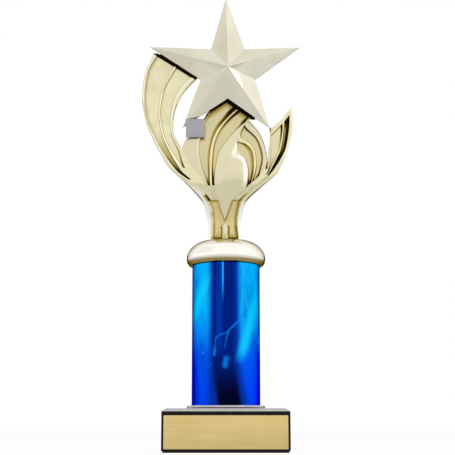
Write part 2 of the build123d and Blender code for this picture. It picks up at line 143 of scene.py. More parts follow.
# Shade painted on the sunk floors of the fan. Each row holds a height, the width in mm and the
# strength of the shade along the left side, the same for the right side, and the strength of
# the shade all over.
FLOOR_SHADES = {
    1: [(40.2, 1.0, 0.0, 0.5, 0.0, 0.0), (41, 1.5, 1.0, 0.5, 0.0, 1.0), (46, 2.0, 1.0, 0.5, 0.0, 0.9),
        (49, 1.7, 1.0, 0.5, 0.0, 0.65), (53, 1.5, 0.85, 0.5, 0.0, 0.5), (58, 1.8, 0.42, 0.5, 0.0, 0.40),
        (64, 2.4, 0.26, 0.5, 0.0, 0.32), (70, 2.6, 0.22, 0.5, 0.0, 0.20), (78, 2.6, 0.22, 0.5, 0.1, 0.06),
        (90, 1.8, 0.22, 0.6, 0.15, 0.0), (130, 1.4, 0.24, 0.8, 0.2, 0.0)],
    3: [(48.2, 0.5, 0.0, 1.0, 0.0, 0.0), (48.8, 0.5, 0.0, 1.2, 0.9, 0.9), (51, 0.5, 0.2, 1.6, 0.8, 0.3),
        (55, 0.5, 0.2, 1.6, 0.5, 0.1), (64, 0.5, 0.2, 1.3, 0.36, 0.04), (76, 0.6, 0.3, 0.9, 0.2, 0.0),
        (130, 0.7, 0.3, 0.8, 0.2, 0.0)],
    7: [(36.0, 0.8, 0.0, 1.0, 0.0, 0.0), (36.6, 0.8, 0.8, 1.0, 0.8, 1.0), (39.5, 0.8, 0.8, 1.1, 0.9, 0.7),
        (42.5, 0.9, 0.7, 1.2, 0.75, 0.2), (47, 0.8, 0.5, 1.5, 0.62, 0.05), (55, 0.6, 0.2, 1.8, 0.52, 0.0),
        (68, 0.5, 0.15, 1.8, 0.52, 0.0), (76, 0.5, 0.2, 2.3, 0.62, 0.0), (81, 0.6, 0.3, 2.8, 0.74, 0.0),
        (85, 0.7, 0.4, 3.0, 0.84, 0.0), (89, 0.7, 0.4, 3.8, 1.0, 0.0), (93, 0.7, 0.4, 4.2, 1.0, 0.0)],
    9: [(36.0, 0.8, 0.0, 0.5, 0.0, 0.0), (36.6, 0.8, 0.8, 0.5, 0.6, 1.0), (42, 1.1, 0.95, 0.5, 0.6, 0.85),
        (45, 1.3, 0.78, 0.6, 0.5, 0.2), (51, 1.2, 0.5, 0.6, 0.46, 0.0), (70, 1.2, 0.36, 0.7, 0.46, 0.0),
        (75, 1.5, 0.46, 0.8, 0.50, 0.0), (79, 1.8, 0.62, 1.4, 0.75, 0.0), (82, 1.9, 0.72, 2.6, 1.0, 0.05),
        (88, 2.4, 0.92, 3.6, 1.0, 0.1)],
    11: [(34.6, 0.4, 0.0, 1.0, 0.0, 0.0), (35.2, 0.6, 1.0, 1.4, 1.0, 1.0), (38.5, 0.6, 0.9, 1.8, 1.0, 1.0),
         (42, 0.5, 0.4, 2.3, 0.85, 0.3), (50, 0.4, 0.1, 2.9, 0.52, 0.0), (61, 0.4, 0.1, 2.7, 0.50, 0.0),
         (65, 0.4, 0.1, 1.8, 0.62, 0.1), (67.5, 0.4, 0.0, 1.0, 0.0, 0.0)],
    13: [(36.0, 0.8, 0.0, 0.8, 0.0, 0.0), (36.5, 1.0, 1.0, 1.8, 1.0, 1.0), (39, 1.1, 0.9, 2.8, 1.0, 0.95),
         (41.5, 1.2, 0.5, 2.4, 1.0, 0.3), (45, 1.2, 0.3, 1.7, 0.78, 0.0), (55, 1.0, 0.2, 1.6, 0.62, 0.0),
         (67, 0.9, 0.2, 1.4, 0.62, 0.0), (72, 1.2, 0.45, 1.4, 0.7, 0.0), (76, 1.4, 0.55, 1.8, 0.9, 0.2),
         (79, 1.0, 0.3, 1.0, 0.6, 0.1)],
    17: [(43.4, 0.5, 0.0, 0.5, 0.0, 0.0), (44.4, 0.5, 0.3, 0.6, 0.5, 0.6), (48, 0.6, 0.3, 0.9, 0.6, 0.5),
         (52, 0.6, 0.35, 0.8, 0.45, 0.25), (58, 0.6, 0.3, 0.7, 0.3, 0.08), (66, 0.5, 0.25, 1.1, 0.4, 0.0),
         (70, 0.5, 0.2, 1.7, 0.75, 0.0), (74, 0.5, 0.2, 2.0, 0.9, 0.0), (80, 0.5, 0.2, 2.3, 1.0, 0.0)],
    19: [(43.0, 0.5, 0.0, 0.5, 0.0, 0.0), (43.6, 1.0, 1.0, 1.0, 1.0, 1.0), (57, 1.0, 1.0, 2.0, 1.0, 1.0),
         (62, 1.0, 0.7, 3.0, 1.0, 0.75), (68, 0.9, 0.6, 3.8, 1.0, 0.60), (77, 0.8, 0.6, 4.4, 1.0, 0.60),
         (80, 0.8, 0.8, 5.0, 1.0, 0.85), (82, 0.8, 0.9, 5.0, 1.0, 1.0), (87, 0.8, 1.0, 5.0, 1.0, 1.0)],
}
# The sunk floor of the stem runs round a pointed tongue above and a tab below. Each corner is
# (x, z), then the width and strength of the shade along the side that starts there.
STEM_FLOOR = [
    (-8.4, 1, 1.5, 0.40), (-7.9, 11, 1.5, 0.36), (-9.0, 21, 1.5, 0.38), (-11.1, 27, 2.0, 0.48),
    (-4.9, 27, 0.9, 0.34), (-4.0, 22.5, 1.0, 0.44), (-0.7, 14.2, 1.9, 0.40), (3.9, 27, 1.2, 0.46),
    (9.5, 27, 2.9, 0.50), (8.2, 21, 2.9, 0.48), (7.2, 14.7, 2.9, 0.48), (7.3, 9.6, 3.0, 0.60),
    (8.3, 1, 2.4, 0.80), (1.7, 1, 1.0, 0.72), (1.7, 9.6, 0.6, 0.42), (0.6, 11.1, 0.6, 0.36),
    (-0.6, 11.5, 0.6, 0.36), (-1.9, 11.1, 0.6, 0.45), (-2.7, 9.6, 1.0, 0.62), (-2.7, 1, 2.2, 0.80),
]
# Shaded creases and edges outside the floors: from (x, z) to (x, z), half width at both ends and
# strength.
CREASES = [
    ((-2.5, 0.5), (-2.3, 9.0), 0.8, 0.5, 0.5),
    ((1.5, 0.5), (1.3, 10.0), 0.8, 0.4, 0.55),
    ((-0.6, 0.3), (-0.6, 4.0), 2.0, 1.0, 0.3),
    ((-11.1, 26.8), (-13.2, 30.3), 1.1, 0.4, 0.95),
    ((9.3, 26.7), (12.6, 30.2), 0.9, 0.5, 0.72),
    ((12.6, 30.2), (20.0, 36.2), 0.6, 0.7, 0.38),
    ((20.0, 36.2), (28.4, 43.4), 0.7, 0.5, 0.36),
    ((-15.1, 82.5), (-12.1, 87.8), 0.9, 0.9, 1.0),
    ((-12.1, 87.8), (-7.0, 92.4), 0.9, 0.7, 1.0),
    ((26.9, 47.8), (27.9, 55.0), 0.65, 0.5, 1.0),
    ((27.9, 55.0), (28.8, 65.0), 0.5, 0.3, 0.75),
    ((-35.3, 77.0), (-34.9, 88.0), 0.5, 0.55, 0.7),
    ((-34.9, 88.0), (-33.0, 94.5), 0.55, 0.35, 0.6),
    ((-45.2, 61.5), (-51.9, 76.0), 0.25, 0.3, 0.42),
    ((-51.9, 76.0), (-57.3, 99.0), 0.3, 0.3, 0.42),
]
# The short ridge over the bowl, bright partly from its shape and partly from a painted highlight: from (x, z)
# to (x, z), then its half width at both ends.
BOWL_RIDGE = ((7.2, 66.4), (4.8, 57.4), 0.7, 1.7)
# Shares of a flow line's run, from foot to top.
STEM_SHARE = 0.20
CROTCH_SHARE = 0.42
WING_FLOOR_SHARE = 0.93
# Rows of the figure's skin: from and to a share of the run, and how many.
ROW_SPANS = [(0.0, 0.02, 6), (0.02, 0.188, 30), (0.188, 0.212, 12), (0.212, 0.42, 48),
             (0.42, 0.915, 90), (0.915, 0.945, 12), (0.945, 0.98, 4), (0.98, 1.0, 8)]

# Side profiles of the figure, as (z, y): front skin and back skin.
FRONT_PROFILE = [(0, -7.2), (14, -6.6), (27, -9.0), (38, -11.3), (55, -11.5), (65, -10.3),
                 (72, -8.9), (78, -7.6), (84, -6.3), (92, -5.6), (102, -5.2), (134, -5.0)]
BACK_PROFILE = [(0, 7.2), (14, 6.6), (24, 4.5), (33, -2.0), (43, -8.9), (55, -9.1), (65, -7.9),
                (72, -6.5), (78, -5.2), (84, -3.9), (92, -3.2), (102, -2.8), (134, -2.6)]
BOW_RADIUS = 350.0
WALL_WIDTH = 0.45               # the steep side of a floor, seen from the front
LEAF_CREST_WIDTH, LEAF_CREST_RISE = 1.8, 0.3
RIDGE_RISE = 0.6
STEM_FLOOR_DEPTH = 1.0
STEM_WALL_WIDTH = 0.8
STEM_FOOT_SHADE = 0.42
BACK_RELIEF = 0.55              # share of the front's relief that shows on the back
EDGE_CLOSING = 0.6              # share of an edge's rounding by which the back closes in
BACK_SHADE = 0.3                # share of the front's painted shade that the back keeps
EGG_CENTRE = (6.0, 46.5)
EGG_HALF = (8.7, 11.3)          # half width and height above its middle
EGG_DROP = 22.0                 # how far below its middle it would close
BRIDGE = [(-11, 88), (19.8, 83.4), (15, 109), (-11, 109)]
BRIDGE_Y = (-3.8, -2.6)
PEG_PLACES = [(-6.0, 103.0), (9.0, 103.0), (-29.5, 125.5)]
BOSS_RADIUS = 3.0
BOSS_Y = (-6.35, 0.5)
MOUNTING_FRONT_Y = -3.0         # the faces before this count as front

# --- base and column ----------------------------------------------------------------------
STONE_BEVEL_HEIGHT, STONE_BEVEL_INSET = 1.8, 3.0
FOIL_SEGMENTS, FOIL_CUTS = 192, 130
FOIL_WALL = 0.2
CREASE_LIMIT = 6.0              # half widths beyond which the distance to a crease isn't counted
ROD_HOLE = 3.3
SPIGOT_OUTSIDE, SPIGOT_INSIDE = 20.4, 18.8      # radii of the collars that centre the tube
SPIGOT_ROOT_Z = 121.7           # where the lid's collar meets its inside
RING_THICKNESS = 2.0
LID_OUTSIDE = [(25.4, 121.9), (26.0, 124.6), (25.8, 127.0), (24.9, 129.5), (22.4, 132.8), (18.5, 135.4),
               (15.5, 136.3)]
LID_INSIDE = [(13.0, 134.9), (17.8, 133.8), (21.2, 131.6), (23.4, 128.8), (24.2, 126.6), (24.4, 124.7),
              (23.2, 122.6)]
# Creases in the front of the foil: from (x, z) to (x, z), z from the ground, half width.
FOIL_CREASES = [
    ((-7.4, 60.8), (-7.0, 64.5), 1.2),
    ((-7.0, 64.5), (-6.6, 71.0), 0.55),
    ((-6.6, 71.0), (-3.9, 73.4), 0.55),
    ((-3.9, 73.4), (0.0, 74.2), 0.55),
    ((0.0, 74.2), (3.9, 78.0), 0.65),
    ((3.9, 78.0), (8.4, 82.4), 0.8),
    ((8.4, 82.4), (11.7, 87.9), 0.7),
    ((1.9, 76.0), (0.2, 70.5), 0.6),
    ((0.2, 70.5), (-0.8, 65.5), 0.5),
    ((-0.6, 53.8), (0.2, 58.4), 2.2),
    ((-15.2, 61.8), (-14.2, 62.6), 1.0),
    ((-11.2, 52.4), (-8.6, 56.0), 0.35),
]

# --- the star -----------------------------------------------------------------------------
STAR_CENTRE = (0.0, 117.0)
STAR_CORE = (1.2, 116.5)
TIP_RADII = (51.8, 54.0, 49.7, 49.7, 52.6)
NOTCH_RADIUS = 19.3
STAR_BACK_Y = -6.4
STAR_RIM_Y = -7.8
STAR_PEAK_Y = -17.5
STAR_LIP = 1.1
STAR_RECESS_Y = -7.85


def smooth_step(value, low, high):
    """0 below low, 1 above high and an even rise between them."""
    t = min(1.0, max(0.0, (value - low) / (high - low)))
    return t * t * (3 - 2 * t)


class Track:
    """A smooth curve through points that each stand at a place along it."""

    def __init__(self, places, points):
        self.places = places
        self.points = [Vector(p) for p in points]
        last = len(points) - 1
        self.slopes = []
        for i in range(last + 1):
            before, after = max(0, i - 1), min(last, i + 1)
            self.slopes.append((self.points[after] - self.points[before]) / (places[after] - places[before]))

    def at(self, place):
        """The point at a place, held at the ends."""
        places = self.places
        place = min(max(place, places[0]), places[-1])
        i = 0
        while i < len(places) - 2 and place > places[i + 1]:
            i += 1
        span = places[i + 1] - places[i]
        t = (place - places[i]) / span
        start, end = self.points[i], self.points[i + 1]
        return ((2 * t ** 3 - 3 * t ** 2 + 1) * start + (t ** 3 - 2 * t ** 2 + t) * span * self.slopes[i]
                + (3 * t ** 2 - 2 * t ** 3) * end + (t ** 3 - t ** 2) * span * self.slopes[i + 1])


# --- shader expressions -------------------------------------------------------------------
class Channel:
    """A number that varies over a surface. Python's operators on it add Math nodes."""

    def __init__(self, finish, socket):
        self.finish = finish
        self.socket = socket

    def _math(self, operation, *values):
        made = self.finish.node("Math", dict(enumerate(values)), operation=operation)
        return Channel(self.finish, made.outputs[0])

    def __add__(self, other):
        return self._math("ADD", self, other)

    def __sub__(self, other):
        return self._math("SUBTRACT", self, other)

    def __rsub__(self, other):
        return self._math("SUBTRACT", other, self)

    def __mul__(self, other):
        return self._math("MULTIPLY", self, other)

    def __abs__(self):
        return self._math("ABSOLUTE", self)

    def highest(self, other):
        """The larger of two numbers."""
        return self._math("MAXIMUM", self, other)

    def lowest(self, other):
        """The smaller of two numbers."""
        return self._math("MINIMUM", self, other)

    def rise(self, low, high):
        """0 below low, 1 above high and an even rise between them."""
        made = self.finish.node("MapRange", {"Value": self, "From Min": low, "From Max": high},
                                interpolation_type="SMOOTHSTEP")
        return Channel(self.finish, made.outputs["Result"])

    __radd__ = __add__
    __rmul__ = __mul__


class Finish:
    """A material, or the world, under construction."""

    def __init__(self, name, world=False):
        self.owner = (bpy.data.worlds if world else bpy.data.materials).new(name)
        self.owner.use_nodes = True
        self.tree = self.owner.node_tree
        self.tree.nodes.clear()

    def node(self, kind, inputs=None, **settings):
        """Adds a node, then its settings, then the values or links of its sockets."""
        made = self.tree.nodes.new("ShaderNode" + kind)
        for name, value in settings.items():
            if name == "stops":
                self._fill_ramp(made.color_ramp, value)
            else:
                setattr(made, name, value)
        for name, value in (inputs or {}).items():
            if isinstance(value, Channel):
                value = value.socket
            if isinstance(value, bpy.types.NodeSocket):
                self.tree.links.new(value, made.inputs[name])
            elif made.inputs[name].type == "RGBA":
                made.inputs[name].default_value = (*value[:3], 1.0)
            else:
                made.inputs[name].default_value = value
        return made

    @staticmethod
    def _fill_ramp(ramp, stops):
        while len(ramp.elements) < len(stops):
            ramp.elements.new(0.5)
        for element, (place, colour) in zip(ramp.elements, stops):
            element.position = place
            element.color = (*colour, 1.0)

    def place(self):
        """The point on the piece, in metres."""
        return self.node("TexCoord").outputs["Object"]

    def axis(self, letter):
        """One coordinate of the point on the piece."""
        return Channel(self, self.node("SeparateXYZ", {0: self.place()}).outputs[letter])

    def attribute(self, name):
        """A number painted on the piece's vertices."""
        return Channel(self, self.node("Attribute", attribute_name=name).outputs["Fac"])

    def noise(self, scale, detail=2.0, stretch=(1, 1, 1), shift=(0, 0, 0), distortion=0.0):
        """Cloudy noise from 0 to 1, with scale in features per metre."""
        mapped = self.node("Mapping", {"Vector": self.place(), "Scale": stretch, "Location": shift})
        made = self.node("TexNoise", {"Vector": mapped.outputs[0], "Scale": scale, "Detail": detail,
                                      "Distortion": distortion})
        return Channel(self, made.outputs["Fac"])

    def blend(self, share, first, second):
        """A colour between two, by share."""
        return self.node("Mix", {0: share, 6: first, 7: second}, data_type="RGBA").outputs[2]

    def coats(self, colour, *coats):
        """A colour with others laid over it, each by its own share."""
        for share, over in coats:
            colour = self.blend(share, colour, over)
        return colour

    def bump(self, height, distance, under=None):
        """A normal pushed about by a height, over another normal if one is given."""
        inputs = {"Height": height, "Distance": distance}
        if under is not None:
            inputs["Normal"] = under
        return self.node("Bump", inputs).outputs["Normal"]

    def closed(self, shader, output="OutputMaterial"):
        """The material or world, ended with a shader."""
        self.node(output, {"Surface": shader.outputs[0]})
        return self.owner

    def surface(self, inputs):
        """The material, ended with a principled surface."""
        return self.closed(self.node("BsdfPrincipled", inputs))


# --- finishes -----------------------------------------------------------------------------
PALE_FLOOR = (0.87, 0.80, 0.54)
SPECKLE = (0.42, 0.36, 0.17)
# the deepest painted shade on the gold
NEARLY_BLACK = (0.012, 0.007, 0.002)
STONE_FLECK, STONE_VEIN = (0.06, 0.055, 0.05), (0.09, 0.085, 0.08)
PALE_BEVEL_DARKER = (0.56, 0.55, 0.54)
FOIL_FOOT_BLUES = (0.001, 0.06, 0.95), (0.001, 0.11, 0.93)
FOIL_STREAK = (0.001, 0.05, 0.42)
FOIL_VEIN = (0.01, 0.22, 1.0)
# Painted shadow of the star on the figure, in mm below the star's edges, and where it ends: in mm from the
# middle and above the figure's foot.
GAP_SHADE = (1.1, 1.7)
PETAL_SHADE, PETAL_SHADE_STRENGTH = (0.8, 6.5), 0.62
ARM_SHADE_END = (-18, -17)
NOTCH_SHADE_SIDES = (30, 31)
NOTCH_SHADE_TOP = (98.5, 99)
LID_RIM_REFLECTION_FADE = (1.5, 4.2)       # mm above the rim over which its painted browner reflection ends
# Painted reflections and highlights on the foil, in mm across and up from the ground. Stripes up the middle,
# a painted dark reflection: the fade of the left edge and of the right edge, and how far each edge moves
# right for each mm towards the foot.
BAND = (-13.0, -8.0), (6.5, 11.0), (-0.02, 0.20)
CORE = (-10.5, -6.5), (3.5, 7.5), (0.14, 0.16)
STRIPES_LEAN_BELOW = 56
CORE_FADES = (34, 62)
# Thin upright streaks of painted reflection, the first dark and the second a bright slit: x, the fade from
# their middle, and the stretch of height where they start.
DARK_REFLECTED_STREAK = -4.3, (1.2, 3.2), (58, 74)
BRIGHT_REFLECTED_SLIT = -2.0, (0.2, 0.9), (92, 112)
# Slanting streaks, painted highlights on the front of the foil: the shares of across and up and the offset
# that give the distance from their line, the half width, and the stretches of height where they start and
# end.
HIGHLIGHT_BEAMS = [(0.948, -0.318, 47.0, 4.6, (76, 90), (102, 116)),
         (0.969, -0.248, 5.2, 5.0, (54, 66), (90, 112))]


def below_star(f):
    """Millimetres below the star's straight lower edges, where the figure passes behind it."""
    corners = star_corners()
    across, up = f.axis("X"), f.axis("Z")
    reach = []
    # the left arm's lower edge, then both edges of the notch at the bottom
    for first, second in ((2, 3), (4, 5), (5, 6)):
        (x, z), (end_x, end_z) = corners[first], corners[second]
        run = math.hypot(end_x - x, end_z - z)
        right, rise = (end_z - z) / run, -(end_x - x) / run
        offset = right * x + rise * (z + FOOT_Z)
        reach.append(across * (right / MM) + up * (rise / MM) - offset)
    under_arm = reach[0] + across.rise(*(x * MM for x in ARM_SHADE_END)) * 100
    beside = abs(across).rise(*(x * MM for x in NOTCH_SHADE_SIDES))
    beside = beside + up.rise(*((FOOT_Z + z) * MM for z in NOTCH_SHADE_TOP))
    in_notch = (reach[1] + 0.2).lowest(reach[2] - 0.8) + beside * 100
    return under_arm, in_notch


def gold_finish(looks):
    """Bright plated gold on ribs, satin pebbled gold on floors, painted highlights on crests, and painted
    shade from olive to black in corners, tips, creases and below the star.
    """
    f = Finish("plated_gold")
    grain, warmth, yellow = (f.attribute(name) for name in ("grain", "warmth", "yellow"))
    under_arm, in_notch = below_star(f)
    # painted shadow: black where the figure passes behind the star's lower edges, front faces only; below the
    # notch a softer painted shade
    gap = (1 - under_arm.lowest(in_notch).rise(*GAP_SHADE)) * f.attribute("front").rise(0.3, 0.7)
    petal_shade = (1 - in_notch.rise(*PETAL_SHADE)) * PETAL_SHADE_STRENGTH * warmth
    sides = 1
    for side in ("left", "right"):
        near = 1 - f.attribute(side + "_reach").rise(0.55, 1.15)
        sides = sides * (1 - near * f.attribute(side + "_shade"))
    # painted shade: corners, tips and creases, the painted shadow below the star and the painted shade along
    # the floors' sides
    recess = f.attribute("recess").highest(gap).highest(petal_shade).highest(1 - sides)
    pebbles = f.noise(1500, 2.5)
    cloud = f.noise(90, 3)
    speckle = f.noise(2600, 1).rise(0.35, 0.7)
    mottle = f.noise(150, 2, stretch=(1, 1, 0.6)).rise(0.42, 0.60)
    floors = f.blend(cloud.rise(0.35, 0.65), looks.floor_colour, looks.floor_shade_colour)
    petals = f.blend(mottle, looks.petal_floor_colour, looks.petal_green_colour)
    floors = f.blend(mottle * 0.6 + 0.4, PALE_FLOOR, floors)
    floors = f.coats(floors, (warmth, petals), (warmth * yellow, looks.stem_floor_colour),
                     (speckle * 0.16, SPECKLE))
    # bright gold, with the painted highlight laid over it
    bright = f.coats(looks.gold_colour, (warmth, looks.warm_gold_colour), (yellow, looks.rib_colour),
                     (f.attribute("polish"), looks.painted_highlight_colour))
    # painted shade laid over the colours: olive, then brown, then nearly black where it is deepest
    colour = f.coats(bright, (grain, floors), (recess.rise(0.0, 0.55), looks.olive_colour),
                     (recess.rise(0.45, 0.80), looks.corner_shade_colour), (recess.rise(0.75, 1.0), NEARLY_BLACK))
    satin = grain * 0.22 + warmth * (1 - grain) * 0.2
    roughness = 0.13 + satin + cloud * 0.06 + recess * 0.15
    normal = f.bump(pebbles * grain, 0.00007)
    normal = f.bump(cloud, 0.0003, normal)
    return f.surface({"Base Color": colour, "Metallic": 1.0, "Roughness": roughness, "Normal": normal})


def star_finish(looks):
    """Champagne plating, almost a mirror, with the faint waves of a moulded facet."""
    f = Finish("champagne_plating")
    cloud = f.noise(45, 2)
    waves = f.noise(28, 1.5, shift=(3, 1, 2))
    colour = f.blend(cloud.rise(0.3, 0.7), looks.star_colour, looks.star_shade_colour)
    normal = f.bump(waves, 0.0016)
    return f.surface({"Base Color": colour, "Metallic": 1.0, "Normal": normal,
                      "Roughness": 0.09 + cloud * 0.05})


def lid_finish(looks):
    """Mirror gold on a spun cap, with a painted browner reflection where the metal turns under at the rim."""
    f = Finish("mirror_gold")
    cloud = f.noise(60, 2)
    # a painted darker reflection low on the lid, where it turns under
    rim = 1 - f.axis("Z").rise(*((LID_RIM_Z + z) * MM for z in LID_RIM_REFLECTION_FADE))
    colour = f.coats(looks.lid_colour, (cloud.rise(0.3, 0.7), looks.lid_shade_colour),
                     (rim, looks.lid_rim_reflection_colour))
    normal = f.bump(cloud, 0.0002)
    return f.surface({"Base Color": colour, "Metallic": 1.0, "Normal": normal,
                      "Roughness": 0.06 + cloud * 0.03, "Specular Tint": (0.30, 0.24, 0.14)})


def foil_finish(looks):
    """Metallic foil with cloudy streaks and creases, a painted dark reflection up the middle and painted
    highlights in slanting beams.
    """
    f = Finish("electric_foil")
    height = f.axis("Z").rise(FOIL_LOW.z, FOIL_HIGH.z)
    streaks = f.noise(60, 3, stretch=(1, 1, 0.30), distortion=0.9)
    glints = f.noise(42, 2, stretch=(1, 1, 0.20), shift=(0.3, 0.1, 0.7), distortion=1.4)
    smears = f.noise(34, 2, stretch=(1, 1, 0.16), shift=(0.9, 0.2, 0.4), distortion=1.0).rise(0.48, 0.66)
    marble = f.noise(26, 3, stretch=(1, 1, 0.30), shift=(1.7, 0.4, 0.2), distortion=0.6)
    veins = (1 - abs(marble - 0.5).rise(0.0, 0.008)) * height.rise(0.1, 0.45)
    blues = f.node("ValToRGB", {"Fac": height},
                   stops=[(0.0, FOIL_FOOT_BLUES[0]), (0.28, FOIL_FOOT_BLUES[1]), (0.50, looks.foil_colour),
                          (0.75, looks.foil_high_colour), (1.0, looks.foil_high_colour)]).outputs[0]
    across, up = f.axis("X") * (1 / MM), f.axis("Z") * (1 / MM)
    in_front = 1 - f.axis("Y").rise(-0.004, 0.0)
    core = foil_stripe(across, up, *CORE)
    creases = (1 - f.attribute("crease_reach").rise(0.0, 1.2)) * 0.85
    colour = f.coats(blues, (glints.rise(0.52, 0.75) * height * 0.6, looks.foil_glint_colour),
                     ((1 - streaks.rise(0.30, 0.50)) * 0.55, FOIL_STREAK), (veins * 0.6, FOIL_VEIN),
                     # a painted dark reflection up the middle, its darker core and foot and a dark streak,
                     # then a painted bright slit
                     (foil_stripe(across, up, *BAND), looks.foil_band_reflection_colour),
                     (core, looks.foil_core_reflection_colour),
                     (core * (1 - up.rise(*CORE_FADES)), looks.foil_foot_reflection_colour),
                     (upright_streak(across, up, *DARK_REFLECTED_STREAK), looks.foil_band_reflection_colour),
                     (upright_streak(across, up, *BRIGHT_REFLECTED_SLIT), looks.foil_high_colour),
                     # painted highlights in slanting beams, on the front only
                     (highlight_beams(across, up) * in_front * 0.9, looks.foil_glint_colour),
                     (creases, looks.foil_crease_colour))
    normal = f.bump(streaks, 0.0008)
    return f.surface({"Base Color": colour, "Metallic": 1 - creases * 0.9, "Normal": normal,
                      "Roughness": 0.2 + veins * 0.45 + smears * 0.3, "Specular Tint": (0.02, 0.10, 0.45)})


def foil_stripe(across, up, left_fade, right_fade, lean):
    """A stripe of painted dark reflection up the foil whose edges move towards the foot."""
    lower = (STRIPES_LEAN_BELOW - up).highest(0)
    left = (across - lean[0] * lower).rise(*left_fade)
    return left * (1 - (across - lean[1] * lower).rise(*right_fade))


def upright_streak(across, up, x, fade, starts):
    """A thin streak of painted reflection up the foil."""
    return (1 - abs(across - x).rise(*fade)) * up.rise(*starts)


def highlight_beams(across, up):
    """The slanting streaks of painted highlight."""
    beams = 0
    for lean_x, lean_z, offset, half_width, starts, ends in HIGHLIGHT_BEAMS:
        distance = abs(across * lean_x + up * lean_z + offset)
        beam = (1 - distance.rise(0.2, half_width)) * up.rise(*starts) * (1 - up.rise(*ends))
        beams = beam.highest(beams)
    return beams


def silver_finish(looks):
    """Silvered plastic with a soft brush of wear."""
    f = Finish("silver_trim")
    cloud = f.noise(180, 3)
    colour = f.blend(cloud, looks.ring_colour, looks.ring_shade_colour)
    return f.surface({"Base Color": colour, "Metallic": 1.0, "Roughness": 0.16 + cloud * 0.1})


def stone_finish(looks):
    """Black stone, polished on its faces, with a painted pale reflection and a rougher surface along its
    bevel.
    """
    f = Finish("black_stone")
    bevel = f.attribute("honed")
    fleck = f.noise(900, 2).rise(0.62, 0.72)
    vein = 1 - abs(f.noise(30, 5, distortion=1.2) - 0.5).rise(0.0, 0.01)
    # painted pale reflection on the bevel
    honed = f.blend(f.noise(400, 4), looks.pale_bevel_reflection_colour, PALE_BEVEL_DARKER)
    colour = f.coats(looks.stone_colour, (fleck * 0.35, STONE_FLECK), (vein * 0.1, STONE_VEIN),
                     (bevel, honed))
    return f.surface({"Base Color": colour, "Roughness": 0.1 + bevel * 0.35, "Specular IOR Level": 0.12,
                      "Normal": f.bump(f.noise(1200, 2) * bevel, 0.00004)})


def brushed_finish(name, bright, dull, roughness):
    """Sheet metal brushed from side to side, with cloudy wear."""
    f = Finish(name)
    strokes = f.noise(700, 3, stretch=(0.03, 1, 1.6))
    fine = f.noise(2600, 2, stretch=(0.03, 1, 1.4))
    cloud = f.noise(60, 3)
    colour = f.blend(strokes.rise(0.3, 0.7) * 0.35 + cloud * 0.5, bright, dull)
    return f.surface({"Base Color": colour, "Metallic": 1.0, "Roughness": roughness + fine * 0.15,
                      "Normal": f.bump(fine, 0.00002)})


def felt_finish():
    """Black pressed felt."""
    f = Finish("black_felt")
    fibres = f.noise(2200, 4, distortion=1.5)
    colour = f.blend(fibres, (0.012, 0.012, 0.013), (0.05, 0.05, 0.052))
    return f.surface({"Base Color": colour, "Roughness": 0.95, "Normal": f.bump(fibres, 0.0004)})


def plain_finish(name, light, dark, roughness, metallic=0.0):
    """A quiet finish for pieces that are mostly covered."""
    f = Finish(name)
    cloud = f.noise(400, 3)
    colour = f.blend(cloud, light, dark)
    return f.surface({"Base Color": colour, "Metallic": metallic, "Roughness": roughness + cloud * 0.1})


# --- meshes into pieces -------------------------------------------------------------------
def placed(name, bm, material):
    """An object in the scene from a bmesh in metres, which is freed."""
    mesh = bpy.data.meshes.new(name)
    bm.to_mesh(mesh)
    bm.free()
    mesh.materials.append(material)
    made = bpy.data.objects.new(name, mesh)
    bpy.context.scene.collection.objects.link(made)
    return made


def finish_piece(name, bm, material, node, sharp_degrees=35):
    """Turns a bmesh into a piece that stands for a CAD node and rides on its body."""
    piece = placed(name, bm, material)
    piece.data.shade_smooth()
    piece.data.set_sharp_from_angle(angle=math.radians(sharp_degrees))
    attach(piece, frame["nodes"][node]["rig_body"])
    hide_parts(node)


def spun(profile, segments=128):
    """A closed solid of revolution about the trophy's axis from (radius, z) points in mm."""
    bm = bmesh.new()
    ring = [bm.verts.new((r * MM, 0, z * MM)) for r, z in profile]
    edges = [bm.edges.new((ring[i], ring[(i + 1) % len(ring)])) for i in range(len(ring))]
    bmesh.ops.spin(bm, geom=ring + edges, cent=(0, 0, 0), axis=(0, 0, 1), angle=math.tau,
                   steps=segments, use_merge=True)
    bmesh.ops.remove_doubles(bm, verts=bm.verts, dist=1e-7)
    bmesh.ops.recalc_face_normals(bm, faces=bm.faces)
    return bm


def run_lengths(points):
    """How far along their polyline each of some points lies."""
    lengths = [0.0]
    for before, after in zip(points, points[1:]):
        lengths.append(lengths[-1] + math.dist(before, after))
    return lengths


def smooth_profile(points, steps):
    """More points along a smooth curve through (radius, z) points."""
    places = run_lengths(points)
    track = Track(places, points)
    return [tuple(track.at(places[-1] * i / steps)) for i in range(steps + 1)]


def cad_copy(node):
    """A node's solid as a merged bmesh with its flat faces whole again."""
    bm = bmesh.new()
    bm.from_mesh(frame["nodes"][node].data)
    bmesh.ops.remove_doubles(bm, verts=bm.verts, dist=1e-6)
    bmesh.ops.dissolve_limit(bm, angle_limit=math.radians(1), verts=bm.verts, edges=bm.edges)
    return bm


def soften(bm, offset_mm, degrees=40, segments=2):
    """Bevels the edges that turn by more than some degrees."""
    limit = math.radians(degrees)
    edges = [e for e in bm.edges if len(e.link_faces) == 2 and e.calc_face_angle() > limit]
    bmesh.ops.bevel(bm, geom=edges, offset=offset_mm * MM, offset_type="OFFSET", affect="EDGES",
                    segments=segments, profile=0.5, material=-1, clamp_overlap=True)
    return bm


